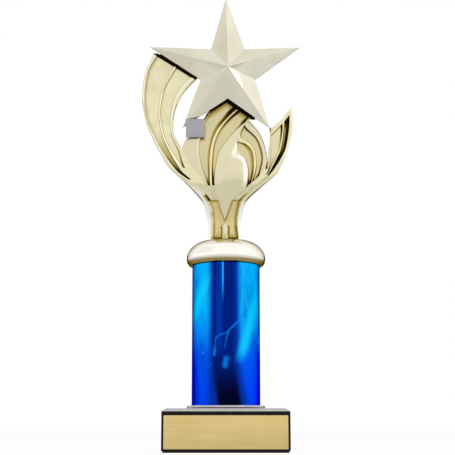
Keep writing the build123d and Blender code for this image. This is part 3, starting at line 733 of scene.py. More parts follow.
# --- the figure ---------------------------------------------------------------------------
def stem_points(line):
    """Where a flow line crosses the stem's stations."""
    points = []
    for z, (left, floor_left, tongue_left, tongue_right, floor_right, right) in STEM_STATIONS:
        if line == 0:
            x = left
        elif line <= LEFT_FLOOR[1]:
            share = (line - LEFT_FLOOR[0]) / (LEFT_FLOOR[1] - LEFT_FLOOR[0])
            x = floor_left + share * (tongue_left - floor_left)
        elif line <= RIGHT_FLOOR[1]:
            share = (line - RIGHT_FLOOR[0]) / (RIGHT_FLOOR[1] - RIGHT_FLOOR[0])
            x = tongue_right + share * (floor_right - tongue_right)
        else:
            x = right
        points.append((x, z))
    return points


def spread(points, start, end):
    """Places from start to end in proportion to the distances between points."""
    lengths = run_lengths(points)
    return [start + (end - start) * length / lengths[-1] for length in lengths]


def flow_line(line):
    """The track of one flow line, from the foot to its top."""
    below, level, above = FAN_LINES[line]
    stem = stem_points(line)
    middle = [stem[-1], *below, level]
    upper = [level, *above]
    places = [STEM_SHARE * z / STEM_TOP for _, z in stem]
    places += spread(middle, STEM_SHARE, CROTCH_SHARE)[1:]
    if line >= RIGHT_WING:
        places += spread(upper[:-1], CROTCH_SHARE, WING_FLOOR_SHARE)[1:] + [1.0]
    else:
        places += spread(upper, CROTCH_SHARE, 1.0)[1:]
    return Track(places, stem + middle[1:] + upper[1:])


def stations(kind, width, looks):
    """Shares across a strip at which its skin has points, the far edge left out."""
    wall = min(WALL_WIDTH, 0.3 * width) / width
    lip = min(0.12 / width, 0.1)
    edge = min(looks.edge_radius / MM, 0.6 * width) / width
    if kind == "floor":
        return [0, wall * 0.35, wall, wall + lip, 0.36, 0.64, 1 - wall - lip, 1 - wall, 1 - wall * 0.35]
    if kind == "rib":
        return [0, 0.15, 0.5, 0.85]
    if kind in ("left_rim", "leaf"):
        rounding = [edge * s for s in (0, 0.06, 0.25, 0.55, 1.0)]
        inner = [1 - lip] if kind == "left_rim" else [0.3, 0.5, 0.65, 0.78, 0.84, 0.9, 0.95, 1 - lip * 0.5]
        return rounding + inner
    if kind == "right_rim":
        return [0, lip] + [1 - edge * s for s in (1.0, 0.55, 0.25, 0.06)]
    if kind == "bowl":
        return [i / 18 for i in range(18)]
    return [0]


def edge_drop(distance, radius):
    """How far a rounded edge falls away at a distance from it."""
    if distance >= radius:
        return 0.0
    return radius - math.sqrt(max(0.0, radius ** 2 - (radius - distance) ** 2))


def egg_radius(x, z):
    """0 in the middle of the oval in the bowl and 1 on its outline."""
    height = EGG_HALF[1] if z > EGG_CENTRE[1] else EGG_DROP
    return math.hypot((x - EGG_CENTRE[0]) / EGG_HALF[0], (z - EGG_CENTRE[1]) / height)


def egg_rise(x, z):
    """How far the oval swells out of the bowl. Its foot runs out evenly."""
    radius = egg_radius(x, z)
    if radius >= 1:
        return 0.0
    return (1 - radius ** 2) ** 0.7 * smooth_step(z, 27, 40)


def between(rows, place):
    """The values at a place, in proportion between rows that each start with their own place."""
    if place <= rows[0][0]:
        return rows[0][1:]
    for (low, *first), (high, *second) in zip(rows, rows[1:]):
        if place <= high:
            share = (place - low) / (high - low)
            return [a + share * (b - a) for a, b in zip(first, second)]
    return rows[-1][1:]


def run_share(spot, start, end):
    """How far along a straight run, from 0 to 1, the nearest place to a spot lies."""
    start = Vector(start)
    along = Vector(end) - start
    return min(1.0, max(0.0, (spot - start).dot(along) / along.length_squared))


def run_distance(spot, start, end):
    """The distance from a spot to a straight run."""
    return (Vector(start).lerp(Vector(end), run_share(spot, start, end)) - spot).length


def ridge_share(spot):
    """1 on the bowl's short ridge and 0 beside it."""
    start, end, start_width, end_width = BOWL_RIDGE
    half_width = start_width + run_share(spot, start, end) * (end_width - start_width)
    return 1 - min(1.0, run_distance(spot, start, end) / half_width) ** 2


def painted_highlight_of(strip, t, width, spot):
    """How strongly a painted highlight covers a spot: crests, the oval's shoulder and the stem's flanks."""
    z = spot.y
    if strip == LEFT_WING_RIM:
        flank = (1 - smooth_step(t, 0.35, 0.65)) * (1 - smooth_step(z, 27, 42))
        crest = 0.75 * smooth_step(t, 0.3, 0.5) * (1 - smooth_step(t, 0.8, 1.0)) * smooth_step(z, 50, 64)
        return max(flank, crest)
    if strip == WING_RIB:
        return 0.9 * math.sin(math.pi * t) * smooth_step(z, 46, 52)
    if strip == WING_INNER_RIM:
        return 0.6 * (1 - smooth_step(t, 0.3, 0.7)) * smooth_step(z, 62, 72)
    if strip == LEAF:
        from_right = (1 - t) * width
        return 0.3 * smooth_step(z, 42, 50) * (1 - smooth_step(abs(from_right - 0.9), 0.3, 0.9))
    if STRIPS[strip] == "rib":
        return 0.3 * math.sin(math.pi * t) * smooth_step(z, 34, 40)
    if STRIPS[strip] == "bowl":
        radius = egg_radius(spot.x, z)
        shoulder = smooth_step(radius, 0.64, 0.82) * (1 - smooth_step(radius, 0.93, 1.03))
        shoulder *= smooth_step(spot.x, 3, 8) * smooth_step(z, 34, 39)
        return max(shoulder, 0.9 * smooth_step(ridge_share(spot), 0.1, 0.6))
    if strip == len(STRIPS) - 1:
        return smooth_step(t, 0.2, 0.5) * (1 - smooth_step(z, 22, 32))
    return 0.0


class Skin:
    """The figure's front as a sheet of points that follow its flow lines."""

    def __init__(self, looks):
        self.looks = looks
        self.lines = [flow_line(i) for i in range(len(FAN_LINES))]
        self.front, self.back = (Track([z for z, _ in profile], [(y, 0) for _, y in profile])
                                 for profile in (FRONT_PROFILE, BACK_PROFILE))
        self.rows = [0.0]
        for start, end, count in ROW_SPANS:
            self.rows += [start + (end - start) * (i + 1) / count for i in range(count)]

    def row(self, share):
        """Every point across the skin at one share of the run, each a dict of what is known there."""
        crossings = [line.at(share) for line in self.lines]
        widths = [max((crossings[i + 1] - crossings[i]).length, 1e-3) for i in range(len(STRIPS))]
        points = []
        for strip, kind in enumerate(STRIPS):
            for t in stations(kind, widths[strip], self.looks):
                spot = crossings[strip].lerp(crossings[strip + 1], t)
                points.append(self.relief(strip, share, t, widths, spot))
        end = dict(points[-1], strip=len(STRIPS), spot=crossings[-1], grain=0.0, recess=0.0)
        end["depth"] = edge_drop(0, self.looks.edge_radius / MM)
        points.append(end)
        return points

    def opening(self, strip, share, widths, z):
        """How far a floor of the fan has opened: 0 below its tip and 1 where it is wide."""
        if STRIPS[strip] != "floor":
            return 0.0
        tip = FLOOR_SHADES[strip][0][0]
        fan = smooth_step(z, tip - 0.2, tip + 1.2)
        if strip >= RIGHT_WING:
            fan *= 1 - smooth_step(share, WING_FLOOR_SHARE - 0.005, WING_FLOOR_SHARE + 0.004)
        return smooth_step(widths[strip], 0.5, 1.3) * fan

    def relief(self, strip, share, t, widths, spot):
        """Depth behind the front profile and the painted values of one point."""
        looks = self.looks
        kind, width = STRIPS[strip], widths[strip]
        depth = grain = recess = left = right = beside = 0.0
        left_reach = right_reach = 2.0
        if kind == "floor":
            open_share = self.opening(strip, share, widths, spot.y)
            wall = min(WALL_WIDTH, 0.3 * width)
            inside = min(1.0, min(t, 1 - t) * width / wall)
            depth = looks.floor_depth / MM * open_share * inside
            grain = open_share * smooth_step(inside, 0.6, 1.0)
            shade_open = self.shade_opening(strip, share, width)
            left_width, left, right_width, right, fill = between(FLOOR_SHADES[strip], spot.y)
            left_reach, right_reach = t * width / left_width, (1 - t) * width / right_width
            left, right = left * shade_open, right * shade_open
            # painted shade over the whole floor near its tip and under the wing's top edge
            recess = max(fill, self.wing_top_shade(strip, share)) * shade_open
        elif kind == "rib":
            beside = min(self.opening(i, share, widths, spot.y) for i in (strip - 1, strip + 1))
            depth = -looks.rib_height / MM * math.sin(math.pi * t) * beside
        elif kind == "leaf":
            from_right = (1 - t) * width
            crest = math.sin(math.pi * min(1.0, from_right / LEAF_CREST_WIDTH))
            depth = -LEAF_CREST_RISE * crest * smooth_step(width, 2.5, 5) * smooth_step(share, 0.36, 0.44)
        elif kind == "bowl":
            ridge = ridge_share(spot)
            depth = -looks.egg_height / MM * egg_rise(spot.x, spot.y) - RIDGE_RISE * ridge ** 2
        yellow = beside
        if spot.y < STEM_TOP + 1:
            stem_depth, stem_shade = self.stem_relief(spot)
            depth += stem_depth
            yellow = min(1.0, stem_depth * 1.2)
            grain = max(grain, yellow)
            recess = max(recess, stem_shade)
        depth += self.free_edges(strip, share, t, width)
        recess = max(recess, self.crease_shade(spot))
        warmth = 1.0 if LEAF <= strip < RIGHT_WING or spot.y < STEM_TOP + 1 else 0.0
        if kind == "bowl":
            warmth = 0.5
        elif kind == "floor" and strip > RIGHT_WING:
            warmth = 0.45
        return {"strip": strip, "share": share, "spot": spot, "depth": depth, "front": 1.0, "grain": grain,
                "recess": recess, "warmth": warmth, "yellow": yellow,
                "polish": painted_highlight_of(strip, t, width, spot) * (1 - min(1.0, 2 * recess)),
                "left_reach": min(2.0, left_reach), "right_reach": min(2.0, right_reach),
                "left_shade": left, "right_shade": right}

    def shade_opening(self, strip, share, width):
        """How far a floor shows its shade, which reaches further into its tip than its depth does."""
        shown = smooth_step(width, 0.15, 0.5) * smooth_step(share, 0.205, 0.225)
        if strip >= RIGHT_WING:
            shown *= 1 - smooth_step(share, WING_FLOOR_SHARE, WING_FLOOR_SHARE + 0.006)
        return shown

    @staticmethod
    def wing_top_shade(strip, share):
        """Shade under the straight top edge of the right wing's floors."""
        if strip < RIGHT_WING:
            return 0.0
        return 0.6 * smooth_step(share, WING_FLOOR_SHARE - 0.016, WING_FLOOR_SHARE - 0.004)

    def stem_relief(self, spot):
        """Depth and shade of the stem's sunk floor, by the distance to its sides."""
        inside, shade, nearest = False, 0.0, 100.0
        for i, (x, z, shade_width, strength) in enumerate(STEM_FLOOR):
            end_x, end_z = STEM_FLOOR[(i + 1) % len(STEM_FLOOR)][:2]
            distance = run_distance(spot, (x, z), (end_x, end_z))
            nearest = min(nearest, distance)
            shade = max(shade, strength * (1 - smooth_step(distance, 0.4 * shade_width, shade_width)))
            if (z > spot.y) != (end_z > spot.y) and spot.x < x + (spot.y - z) * (end_x - x) / (end_z - z):
                inside = not inside
        if not inside:
            return 0.0, 0.0
        shade = max(shade, STEM_FOOT_SHADE * (1 - smooth_step(spot.y, 1.5, 8)))
        return STEM_FLOOR_DEPTH * min(1.0, nearest / STEM_WALL_WIDTH), shade

    def crease_shade(self, spot):
        """Shade of the creases and dark edges that lie outside the floors."""
        shade = 0.0
        for start, end, start_width, end_width, strength in CREASES:
            share = run_share(spot, start, end)
            half_width = start_width + share * (end_width - start_width)
            distance = run_distance(spot, start, end)
            shade = max(shade, strength * (1 - smooth_step(distance, 0.5 * half_width, 1.2 * half_width)))
        return shade

    def free_edges(self, strip, share, t, width):
        """Rounding of the silhouette and of the open gaps."""
        radius = min(self.looks.edge_radius / MM, 0.6 * width)
        outermost = strip in (0, len(STRIPS) - 1)
        opened = 1.0 if outermost else smooth_step(share, CROTCH_SHARE, CROTCH_SHARE + 0.03)
        if STRIPS[strip] in ("left_rim", "leaf"):
            return edge_drop(t * width, radius) * opened
        if STRIPS[strip] == "right_rim":
            return edge_drop((1 - t) * width, radius) * opened
        return 0.0


def bowed(profile, x, z, depth):
    """A point in metres behind a side profile, on a sheet bent about an upright axis behind it."""
    y = BOW_RADIUS - math.sqrt((BOW_RADIUS - profile.at(z).x) ** 2 - x ** 2)
    return Vector((x, y + depth, FOOT_Z + z)) * MM


# Values painted on the figure's vertices, among them painted shade and a painted highlight.
PAINTS = ("front", "grain", "recess", "warmth", "yellow", "polish",
          "left_reach", "right_reach", "left_shade", "right_shade")


def figure_sheet(looks):
    """The front skin as a bmesh with its gaps cut out and its values painted on."""
    skin = Skin(looks)
    rows = [skin.row(share) for share in skin.rows]
    columns = len(rows[0])
    bm = bmesh.new()
    bmesh.ops.create_grid(bm, x_segments=columns - 1, y_segments=len(rows) - 1, size=0.5)
    layers = {name: bm.verts.layers.float.new(name) for name in (*PAINTS, "depth", "share")}
    strip_layer = bm.verts.layers.int.new("strip")
    for vert in bm.verts:
        column = round((vert.co.x + 0.5) * (columns - 1))
        row = round((vert.co.y + 0.5) * (len(rows) - 1))
        point = rows[row][column]
        vert.co = bowed(skin.front, point["spot"].x, point["spot"].y, point["depth"])
        vert[strip_layer] = point["strip"]
        for name, layer in layers.items():
            vert[layer] = point[name]
    gaps = [f for f in bm.faces if STRIPS[min(min(v[strip_layer] for v in f.verts), len(STRIPS) - 1)] == "gap"
            and min(v[layers["share"]] for v in f.verts) >= CROTCH_SHARE - 1e-6]
    bmesh.ops.delete(bm, geom=gaps, context="FACES_ONLY")
    bmesh.ops.delete(bm, geom=[e for e in bm.edges if not e.link_faces], context="EDGES")
    bmesh.ops.remove_doubles(bm, verts=bm.verts, dist=2e-6)
    return bm, skin


def verts_in(made):
    """The vertices in what an extrusion made."""
    return [v for v in made["geom"] if isinstance(v, bmesh.types.BMVert)]


def figure_mesh(looks):
    """Stem, bowl and plumes in one closed moulding."""
    bm, skin = figure_sheet(looks)
    layers = bm.verts.layers.float
    front, recess, grain, depth = (layers[name] for name in ("front", "recess", "grain", "depth"))
    made = bmesh.ops.extrude_face_region(bm, geom=list(bm.faces), use_keep_orig=True)
    for vert in verts_in(made):
        # rounded edges close in from both sides, and floors show behind as low ribs
        rounded = vert[grain] < 0.01 and vert[depth] > 0
        inward = vert[depth] * (-EDGE_CLOSING if rounded else BACK_RELIEF)
        vert.co = bowed(skin.back, vert.co.x / MM, vert.co.z / MM - FOOT_Z, inward)
        vert[recess] *= BACK_SHADE
        vert[front] = 0.0
    bmesh.ops.remove_doubles(bm, verts=bm.verts, dist=1e-7)
    bmesh.ops.recalc_face_normals(bm, faces=bm.faces)
    return bm


def add_prism(bm, corners, y_from, y_to):
    """Adds an upright prism with (x, z) corners in mm, closed at both ends."""
    verts = [bm.verts.new(Vector((x, y_from, FOOT_Z + z)) * MM) for x, z in corners]
    cap = bm.faces.new(verts)
    made = bmesh.ops.extrude_face_region(bm, geom=[cap], use_keep_orig=True)
    bmesh.ops.translate(bm, verts=verts_in(made), vec=(0, (y_to - y_from) * MM, 0))


def add_boss(bm, centre, radius, y_from, y_to):
    """Adds a round bar along Y, closed at both ends."""
    turn = Matrix.Rotation(math.radians(90), 4, "X")
    middle = Vector((centre[0], (y_from + y_to) / 2, FOOT_Z + centre[1])) * MM
    bmesh.ops.create_cone(bm, cap_ends=True, segments=32, radius1=radius * MM, radius2=radius * MM,
                          depth=abs(y_to - y_from) * MM, matrix=Matrix.Translation(middle) @ turn)


def mounting_mesh():
    """The web and bosses behind the star that carry it."""
    bm = bmesh.new()
    add_prism(bm, BRIDGE, *BRIDGE_Y)
    for place in PEG_PLACES:
        add_boss(bm, place, BOSS_RADIUS, *BOSS_Y)
    bmesh.ops.recalc_face_normals(bm, faces=bm.faces)
    front = bm.verts.layers.float.new("front")
    for vert in bm.verts:
        vert[front] = 1.0 if vert.co.y < MOUNTING_FRONT_Y * MM else 0.0
    return bm


# --- the star -----------------------------------------------------------------------------
def star_corners():
    """Ten (x, z) corners, tips and notches in turn."""
    corners = []
    for arm, reach in enumerate(TIP_RADII):
        angle = math.radians(90 + 72 * arm)
        corners.append((STAR_CENTRE[0] + reach * math.cos(angle), STAR_CENTRE[1] + reach * math.sin(angle)))
        angle += math.radians(36)
        corners.append((STAR_CORE[0] + NOTCH_RADIUS * math.cos(angle),
                        STAR_CORE[1] + NOTCH_RADIUS * math.sin(angle)))
    return corners


def star_mesh():
    """The faceted star with its upright rim and the sunk hollow in its back for the cover."""
    bm = bmesh.new()
    corners = star_corners()
    circle = bmesh.ops.create_circle(bm, segments=len(corners), radius=1.0)["verts"]
    ring = sorted(circle, key=lambda v: math.atan2(v.co.y, v.co.x) % math.tau)
    for vert, (x, z) in zip(ring, corners):
        vert.co = Vector((x, STAR_RIM_Y, FOOT_Z + z)) * MM
    rim_edges = list(bm.edges)
    facets = bmesh.ops.extrude_edge_only(bm, edges=rim_edges)
    peak = Vector((STAR_CORE[0], STAR_PEAK_Y, FOOT_Z + STAR_CORE[1])) * MM
    bmesh.ops.pointmerge(bm, verts=verts_in(facets), merge_co=peak)
    wall = bmesh.ops.extrude_edge_only(bm, edges=rim_edges)
    back = verts_in(wall)
    for vert in back:
        vert.co.y = STAR_BACK_Y * MM
    back_edges = [e for e in wall["geom"]
                  if isinstance(e, bmesh.types.BMEdge) and all(v in back for v in e.verts)]
    cap = bmesh.ops.contextual_create(bm, geom=back_edges)["faces"]
    bmesh.ops.recalc_face_normals(bm, faces=bm.faces)
    bmesh.ops.inset_region(bm, faces=cap, thickness=STAR_LIP * MM, use_even_offset=True)
    sunk = bmesh.ops.extrude_face_region(bm, geom=cap)
    for vert in verts_in(sunk):
        vert.co.y = STAR_RECESS_Y * MM
    bmesh.ops.delete(bm, geom=cap, context="FACES_ONLY")
    bmesh.ops.recalc_face_normals(bm, faces=bm.faces)
    return bm


# --- sizes and colours that a user would change -------------------------------------------
def colour(name, description, value):
    """A colour setting."""
    return FloatVectorProperty(name=name, description=description, subtype="COLOR", size=3,
                               min=0.0, max=1.0, default=value)


def length(name, description, millimetres):
    """A length setting."""
    return FloatProperty(name=name, description=description, unit="LENGTH", min=0.0,
                         default=millimetres * MM)


class TrophyLooks(bpy.types.PropertyGroup):
    """Relief and colours of the trophy."""

    floor_depth: length("Floor depth", "How far the pebbled floors lie behind the ribs", 1.2)
    rib_height: length("Rib height", "How far the ribs stand proud of the rims", 0.35)
    edge_radius: length("Edge radius", "Rounding of the figure's silhouette", 1.0)
    egg_height: length("Oval height", "How far the oval swells out of the bowl", 2.0)
    gold_colour: colour("Gold", "Bright gold of ribs and rims", (0.80, 0.75, 0.49))
    warm_gold_colour: colour("Warm gold", "Pinker gold of bowl, leaf and stem", (0.75, 0.68, 0.465))
    rib_colour: colour("Ribs", "Yellow gold of the thin ribs", (0.84, 0.75, 0.36))
    floor_colour: colour("Floor", "Satin gold of the sunk floors", (0.90, 0.85, 0.58))
    floor_shade_colour: colour("Floor shade", "Deeper satin gold in patches", (0.80, 0.75, 0.49))
    petal_floor_colour: colour("Petal floor", "Pinkish satin gold of petals and stem", (0.75, 0.645, 0.38))
    petal_green_colour: colour("Petal patches", "Greener patches on the petals", (0.69, 0.645, 0.375))
    stem_floor_colour: colour("Stem floor", "Yellower satin gold low on the stem", (0.79, 0.645, 0.31))
    # a painted highlight: near-white gold on crests, the oval's shoulder and the stem's flanks
    painted_highlight_colour: colour("Polish", "Brightest polish on crests and flanks", (1.0, 0.98, 0.90))
    olive_colour: colour("Olive", "Gold in half shade", (0.46, 0.38, 0.09))
    # painted shade: brown gold where shade falls in corners and tips
    corner_shade_colour: colour("Recess", "Brown gold in corners and tips", (0.13, 0.07, 0.012))
    star_colour: colour("Star", "Champagne plating", (0.78, 0.75, 0.62))
    star_shade_colour: colour("Star shade", "Greyer plating in patches", (0.70, 0.67, 0.53))
    lid_colour: colour("Lid", "Mirror gold of the lid", (1.0, 0.99, 0.95))
    lid_shade_colour: colour("Lid shade", "Deeper mirror gold in patches", (0.98, 0.95, 0.86))
    # a painted reflection of darker surroundings, where the lid turns under
    lid_rim_reflection_colour: colour("Lid rim", "Browner gold where the lid turns under", (0.34, 0.26, 0.11))
    foil_colour: colour("Foil middle", "Foil at mid height", (0.002, 0.26, 0.93))
    foil_high_colour: colour("Foil top", "Foil at the top of the column", (0.004, 0.44, 0.98))
    foil_glint_colour: colour("Foil glint", "Bright streaks in the foil", (0.006, 0.62, 1.0))
    # painted reflections: the dark band, its core and its foot stand in for dark surroundings that the foil
    # reflects
    foil_band_reflection_colour: colour("Foil band", "Deep band up the middle of the foil", (0.001, 0.032, 0.36))
    foil_core_reflection_colour: colour("Foil core", "Dark core of the band", (0.001, 0.014, 0.20))
    foil_foot_reflection_colour: colour("Foil foot", "Darkest part of the core, at the foot", (0.001, 0.002, 0.018))
    foil_crease_colour: colour("Foil crease", "Creases that catch the light", (0.0, 0.24, 1.0))
    ring_colour: colour("Ring", "Silver of the foot ring", (0.62, 0.61, 0.63))
    ring_shade_colour: colour("Ring shade", "Worn patches of the foot ring", (0.40, 0.39, 0.41))
    stone_colour: colour("Stone", "Polished faces of the base", (0.007, 0.006, 0.005))
    # a painted reflection: pale grey standing in for light that the bevel reflects
    pale_bevel_reflection_colour: colour("Stone bevel", "Honed bevel of the base", (0.74, 0.73, 0.71))
    brass_colour: colour("Brass", "Brushed brass of the name plate", (0.80, 0.62, 0.28))
    brass_dull_colour: colour("Brass wear", "Duller strokes in the brass", (0.62, 0.46, 0.17))
    silver_colour: colour("Silver", "Brushed silver of the small plate", (0.42, 0.41, 0.43))
    silver_dull_colour: colour("Silver wear", "Duller strokes in the silver", (0.34, 0.34, 0.38))


# --- operators ----------------------------------------------------------------------------
def looks_of(context):
    """The scene's settings."""
    return context.scene.trophy_looks


class TROPHY_OT_figure(bpy.types.Operator):
    """Model the gold figure that carries the star"""

    bl_idname = "trophy.figure"
    bl_label = "Figure"

    def execute(self, context):
        looks = looks_of(context)
        gold = gold_finish(looks)
        finish_piece("figure_moulding", figure_mesh(looks), gold, "figure_body", 50)
        finish_piece("star_mounting", mounting_mesh(), gold, "figure_body")
        return {"FINISHED"}


class TROPHY_OT_star(bpy.types.Operator):
    """Model the faceted star and its back cover"""

    bl_idname = "trophy.star"
    bl_label = "Star"

    def execute(self, context):
        plating = star_finish(looks_of(context))
        facets = soften(star_mesh(), 0.18, degrees=8)
        finish_piece("star_facets", facets, plating, "star_face", 20)
        cover = soften(cad_copy("star_cover"), 0.12)
        finish_piece("star_back", cover, plating, "star_cover")
        return {"FINISHED"}


class TROPHY_OT_column(bpy.types.Operator):
    """Model the foot ring, the foil sleeve and the lid"""

    bl_idname = "trophy.column"
    bl_label = "Column"

    def execute(self, context):
        looks = looks_of(context)
        finish_piece("foot_ring_trim", spun(ring_profile()), silver_finish(looks), "foot_ring")
        finish_piece("foil_sleeve", foil_mesh(), foil_finish(looks), "column_foil")
        finish_piece("lid_dome", spun(lid_profile(), 160), lid_finish(looks), "column_lid")
        return {"FINISHED"}


def ring_profile():
    """The foot ring's rounded disc and the collar that centres the tube."""
    low, high = RING_LOW.z / MM, STONE_HIGH.z / MM + RING_THICKNESS
    radius = RING_HIGH.x / MM
    rounding = 0.7
    rim = []
    for centre_z, start in ((low + rounding, -90), (high - rounding, 0)):
        for step in range(7):
            angle = math.radians(start + 15 * step)
            out, up = rounding * math.cos(angle), rounding * math.sin(angle)
            rim.append((radius - rounding + out, centre_z + up))
    collar_top = RING_HIGH.z / MM
    return [(ROD_HOLE, low), *rim, (SPIGOT_OUTSIDE, high), (SPIGOT_OUTSIDE, collar_top),
            (SPIGOT_INSIDE, collar_top), (SPIGOT_INSIDE, high), (ROD_HOLE, high)]


def foil_profile():
    """The foil sleeve's wall, with soft lips."""
    low, high, radius = FOIL_LOW.z / MM, FOIL_HIGH.z / MM, FOIL_HIGH.x / MM
    inside = radius - FOIL_WALL
    return [(inside, low), (radius - 0.06, low), (radius, low + 0.08), (radius, high - 0.08),
            (radius - 0.06, high), (inside, high)]


def foil_mesh():
    """The foil sleeve, with the distance to the creases in its front painted on in half widths."""
    bm = spun(foil_profile(), FOIL_SEGMENTS)
    upright = [e for e in bm.edges if abs(e.verts[0].co.z - e.verts[1].co.z) > 50 * MM
               and all(math.hypot(v.co.x, v.co.y) > FOIL_HIGH.x - 0.05 * MM for v in e.verts)]
    bmesh.ops.subdivide_edges(bm, edges=upright, cuts=FOIL_CUTS, use_grid_fill=True)
    reach = bm.verts.layers.float.new("crease_reach")
    for vert in bm.verts:
        spot = Vector((vert.co.x / MM, vert.co.z / MM))
        nearest = min(run_distance(spot, start, end) / half_width for start, end, half_width in FOIL_CREASES)
        vert[reach] = min(CREASE_LIMIT, nearest) if vert.co.y < 0 else CREASE_LIMIT
    return bm


def lid_profile():
    """The lid's outside, underside, spigot and inside."""
    base, spigot_end = LID_RIM_Z, LID_LOW.z / MM
    outside = smooth_profile([(23.4, base), (24.0, base + 0.1), *LID_OUTSIDE, (13.0, FOOT_Z)], 48)
    inside = smooth_profile(LID_INSIDE, 16)
    return [*outside, (ROD_HOLE, FOOT_Z), (ROD_HOLE, LID_INSIDE[0][1]), *inside,
            (SPIGOT_INSIDE, SPIGOT_ROOT_Z), (SPIGOT_INSIDE, spigot_end),
            (SPIGOT_OUTSIDE, spigot_end), (SPIGOT_OUTSIDE, base)]


class TROPHY_OT_base(bpy.types.Operator):
    """Model the stone base and the brass name plate"""

    bl_idname = "trophy.base"
    bl_label = "Base"

    def execute(self, context):
        looks = looks_of(context)
        stone = soften(cad_copy("stone_base"), 0.22, degrees=20)
        # the bevel, which gets a painted pale reflection
        honed = stone.verts.layers.float.new("honed")
        bevel_foot = STONE_HIGH.z - (STONE_BEVEL_HEIGHT + 0.15) * MM
        for vert in stone.verts:
            outward = max(abs(vert.co.x) - STONE_HIGH.x, abs(vert.co.y) - STONE_HIGH.y) / MM
            vert[honed] = 1.0 if vert.co.z > bevel_foot and outward > -STONE_BEVEL_INSET - 0.1 else 0.0
        finish_piece("stone_block", stone, stone_finish(looks), "stone_base", 25)
        brass = brushed_finish("brushed_brass", looks.brass_colour, looks.brass_dull_colour, 0.26)
        plate = soften(cad_copy("name_plate"), 0.15, segments=3)
        finish_piece("brass_plate", plate, brass, "name_plate", 60)
        return {"FINISHED"}


class TROPHY_OT_badge(bpy.types.Operator):
    """Model the small silver plate on the figure"""

    bl_idname = "trophy.badge"
    bl_label = "Small plate"

    def execute(self, context):
        looks = looks_of(context)
        silver = brushed_finish("brushed_silver", looks.silver_colour, looks.silver_dull_colour, 0.25)
        plate = soften(cad_copy("badge_plate"), 0.12, segments=3)
        finish_piece("silver_plate", plate, silver, "badge_plate", 60)
        return {"FINISHED"}


class TROPHY_OT_hidden(bpy.types.Operator):
    """Finish the pieces that are mostly covered"""

    bl_idname = "trophy.hidden"
    bl_label = "Covered pieces"

    def execute(self, context):
        zinc = plain_finish("zinc_plate", (0.72, 0.73, 0.75), (0.55, 0.56, 0.60), 0.28, 1.0)
        tape = plain_finish("white_foam_tape", (0.80, 0.79, 0.76), (0.66, 0.65, 0.62), 0.8)
        card = plain_finish("grey_tube", (0.20, 0.20, 0.21), (0.13, 0.13, 0.14), 0.5)
        felt = felt_finish()
        finishes = {"base_felt": felt, "name_plate_tape": tape, "badge_tape": tape, "column_tube": card}
        for node in ("flat_washer", "lock_washer", "clamp_nut", "threaded_rod", "figure_nut"):
            finishes[node] = zinc
        for node, material in finishes.items():
            mesh = frame["nodes"][node].data
            mesh.materials.clear()
            mesh.materials.append(material)
        return {"FINISHED"}


# --- stage --------------------------------------------------------------------------------
CAMERA_DISTANCE = 0.700
CAMERA_HEIGHT = 0.015
CAMERA_SIDE = 0.001
CAMERA_PITCH = 10.64
CAMERA_LENS = 84.5
FLOOR_HALF = 6.0
FLOOR_SEEN_WHITE = 0.94         # share of plain white in the floor that the camera sees
FLOOR_MIRRORED_WHITE = 0.35     # and in the floor that metal reflects
LAMP_TARGET = (0, 0, 0.16)
# Name, width, height, position and radiance.
LAMPS = [("key", 0.9, 0.9, (-0.7, -0.8, 1.3), 1.0),
         ("right", 1.9, 1.2, (1.25, -0.36, 0.50), 1.3),
         ("left", 1.4, 1.0, (-1.28, -0.22, 0.50), 1.0)]
# Name, radius, from and to in degrees from the front, lower and upper edge, and colour.
CARDS = [("side_left", 1.5, -98, -45, 0.72, 2.6, (0.90, 0.89, 0.85)),
         ("side_right", 1.5, 40, 84, 0.72, 2.6, (1.14, 1.12, 1.12)),
         ("strip_right", 1.4, 36, 54, 0.36, 0.80, (1.9, 1.9, 1.9)),
         ("behind_left", 1.0, 182, 215, -0.1, 0.33, (0.30, 0.26, 0.18)),
         ("behind_right", 1.0, 145, 178, -0.1, 0.33, (0.26, 0.22, 0.15))]


def facing(position, target):
    """A turn that points an object's -Z from a position at a target."""
    return (Vector(target) - Vector(position)).to_track_quat("-Z", "Y").to_matrix().to_4x4()


def reflected_card(name, bm, colour):
    """Turns a bmesh into a plain studio card that only reflections see."""
    f = Finish(name)
    made = placed(name, bm, f.closed(f.node("Emission", {"Color": colour, "Strength": 1.0})))
    made.visible_camera = False
    made.visible_diffuse = False
    made.visible_shadow = False


def arc_card(name, radius, from_degrees, to_degrees, low, high, colour):
    """An upright card bent about the trophy's axis, its angles counted from the front."""
    bm = bmesh.new()
    start = Matrix.Rotation(math.radians(from_degrees), 3, "Z") @ Vector((0, -radius, 0))
    ends = [bm.verts.new(start + Vector((0, 0, z))) for z in (low, high)]
    edge = bm.edges.new(ends)
    bmesh.ops.spin(bm, geom=[*ends, edge], cent=(0, 0, 0), axis=(0, 0, 1),
                   angle=math.radians(to_degrees - from_degrees), steps=48)
    reflected_card(name, bm, colour)


def lamp(name, width, height, position, radiance):
    """A soft box, sized in metres, of a given brightness, that reflections don't see."""
    data = bpy.data.lights.new(name, "AREA")
    data.shape = "RECTANGLE"
    data.size = width
    data.size_y = height
    data.energy = radiance * math.pi * width * height
    made = bpy.data.objects.new(name, data)
    made.matrix_world = Matrix.Translation(position) @ facing(position, LAMP_TARGET)
    made.visible_camera = False
    made.visible_glossy = False
    bpy.context.scene.collection.objects.link(made)


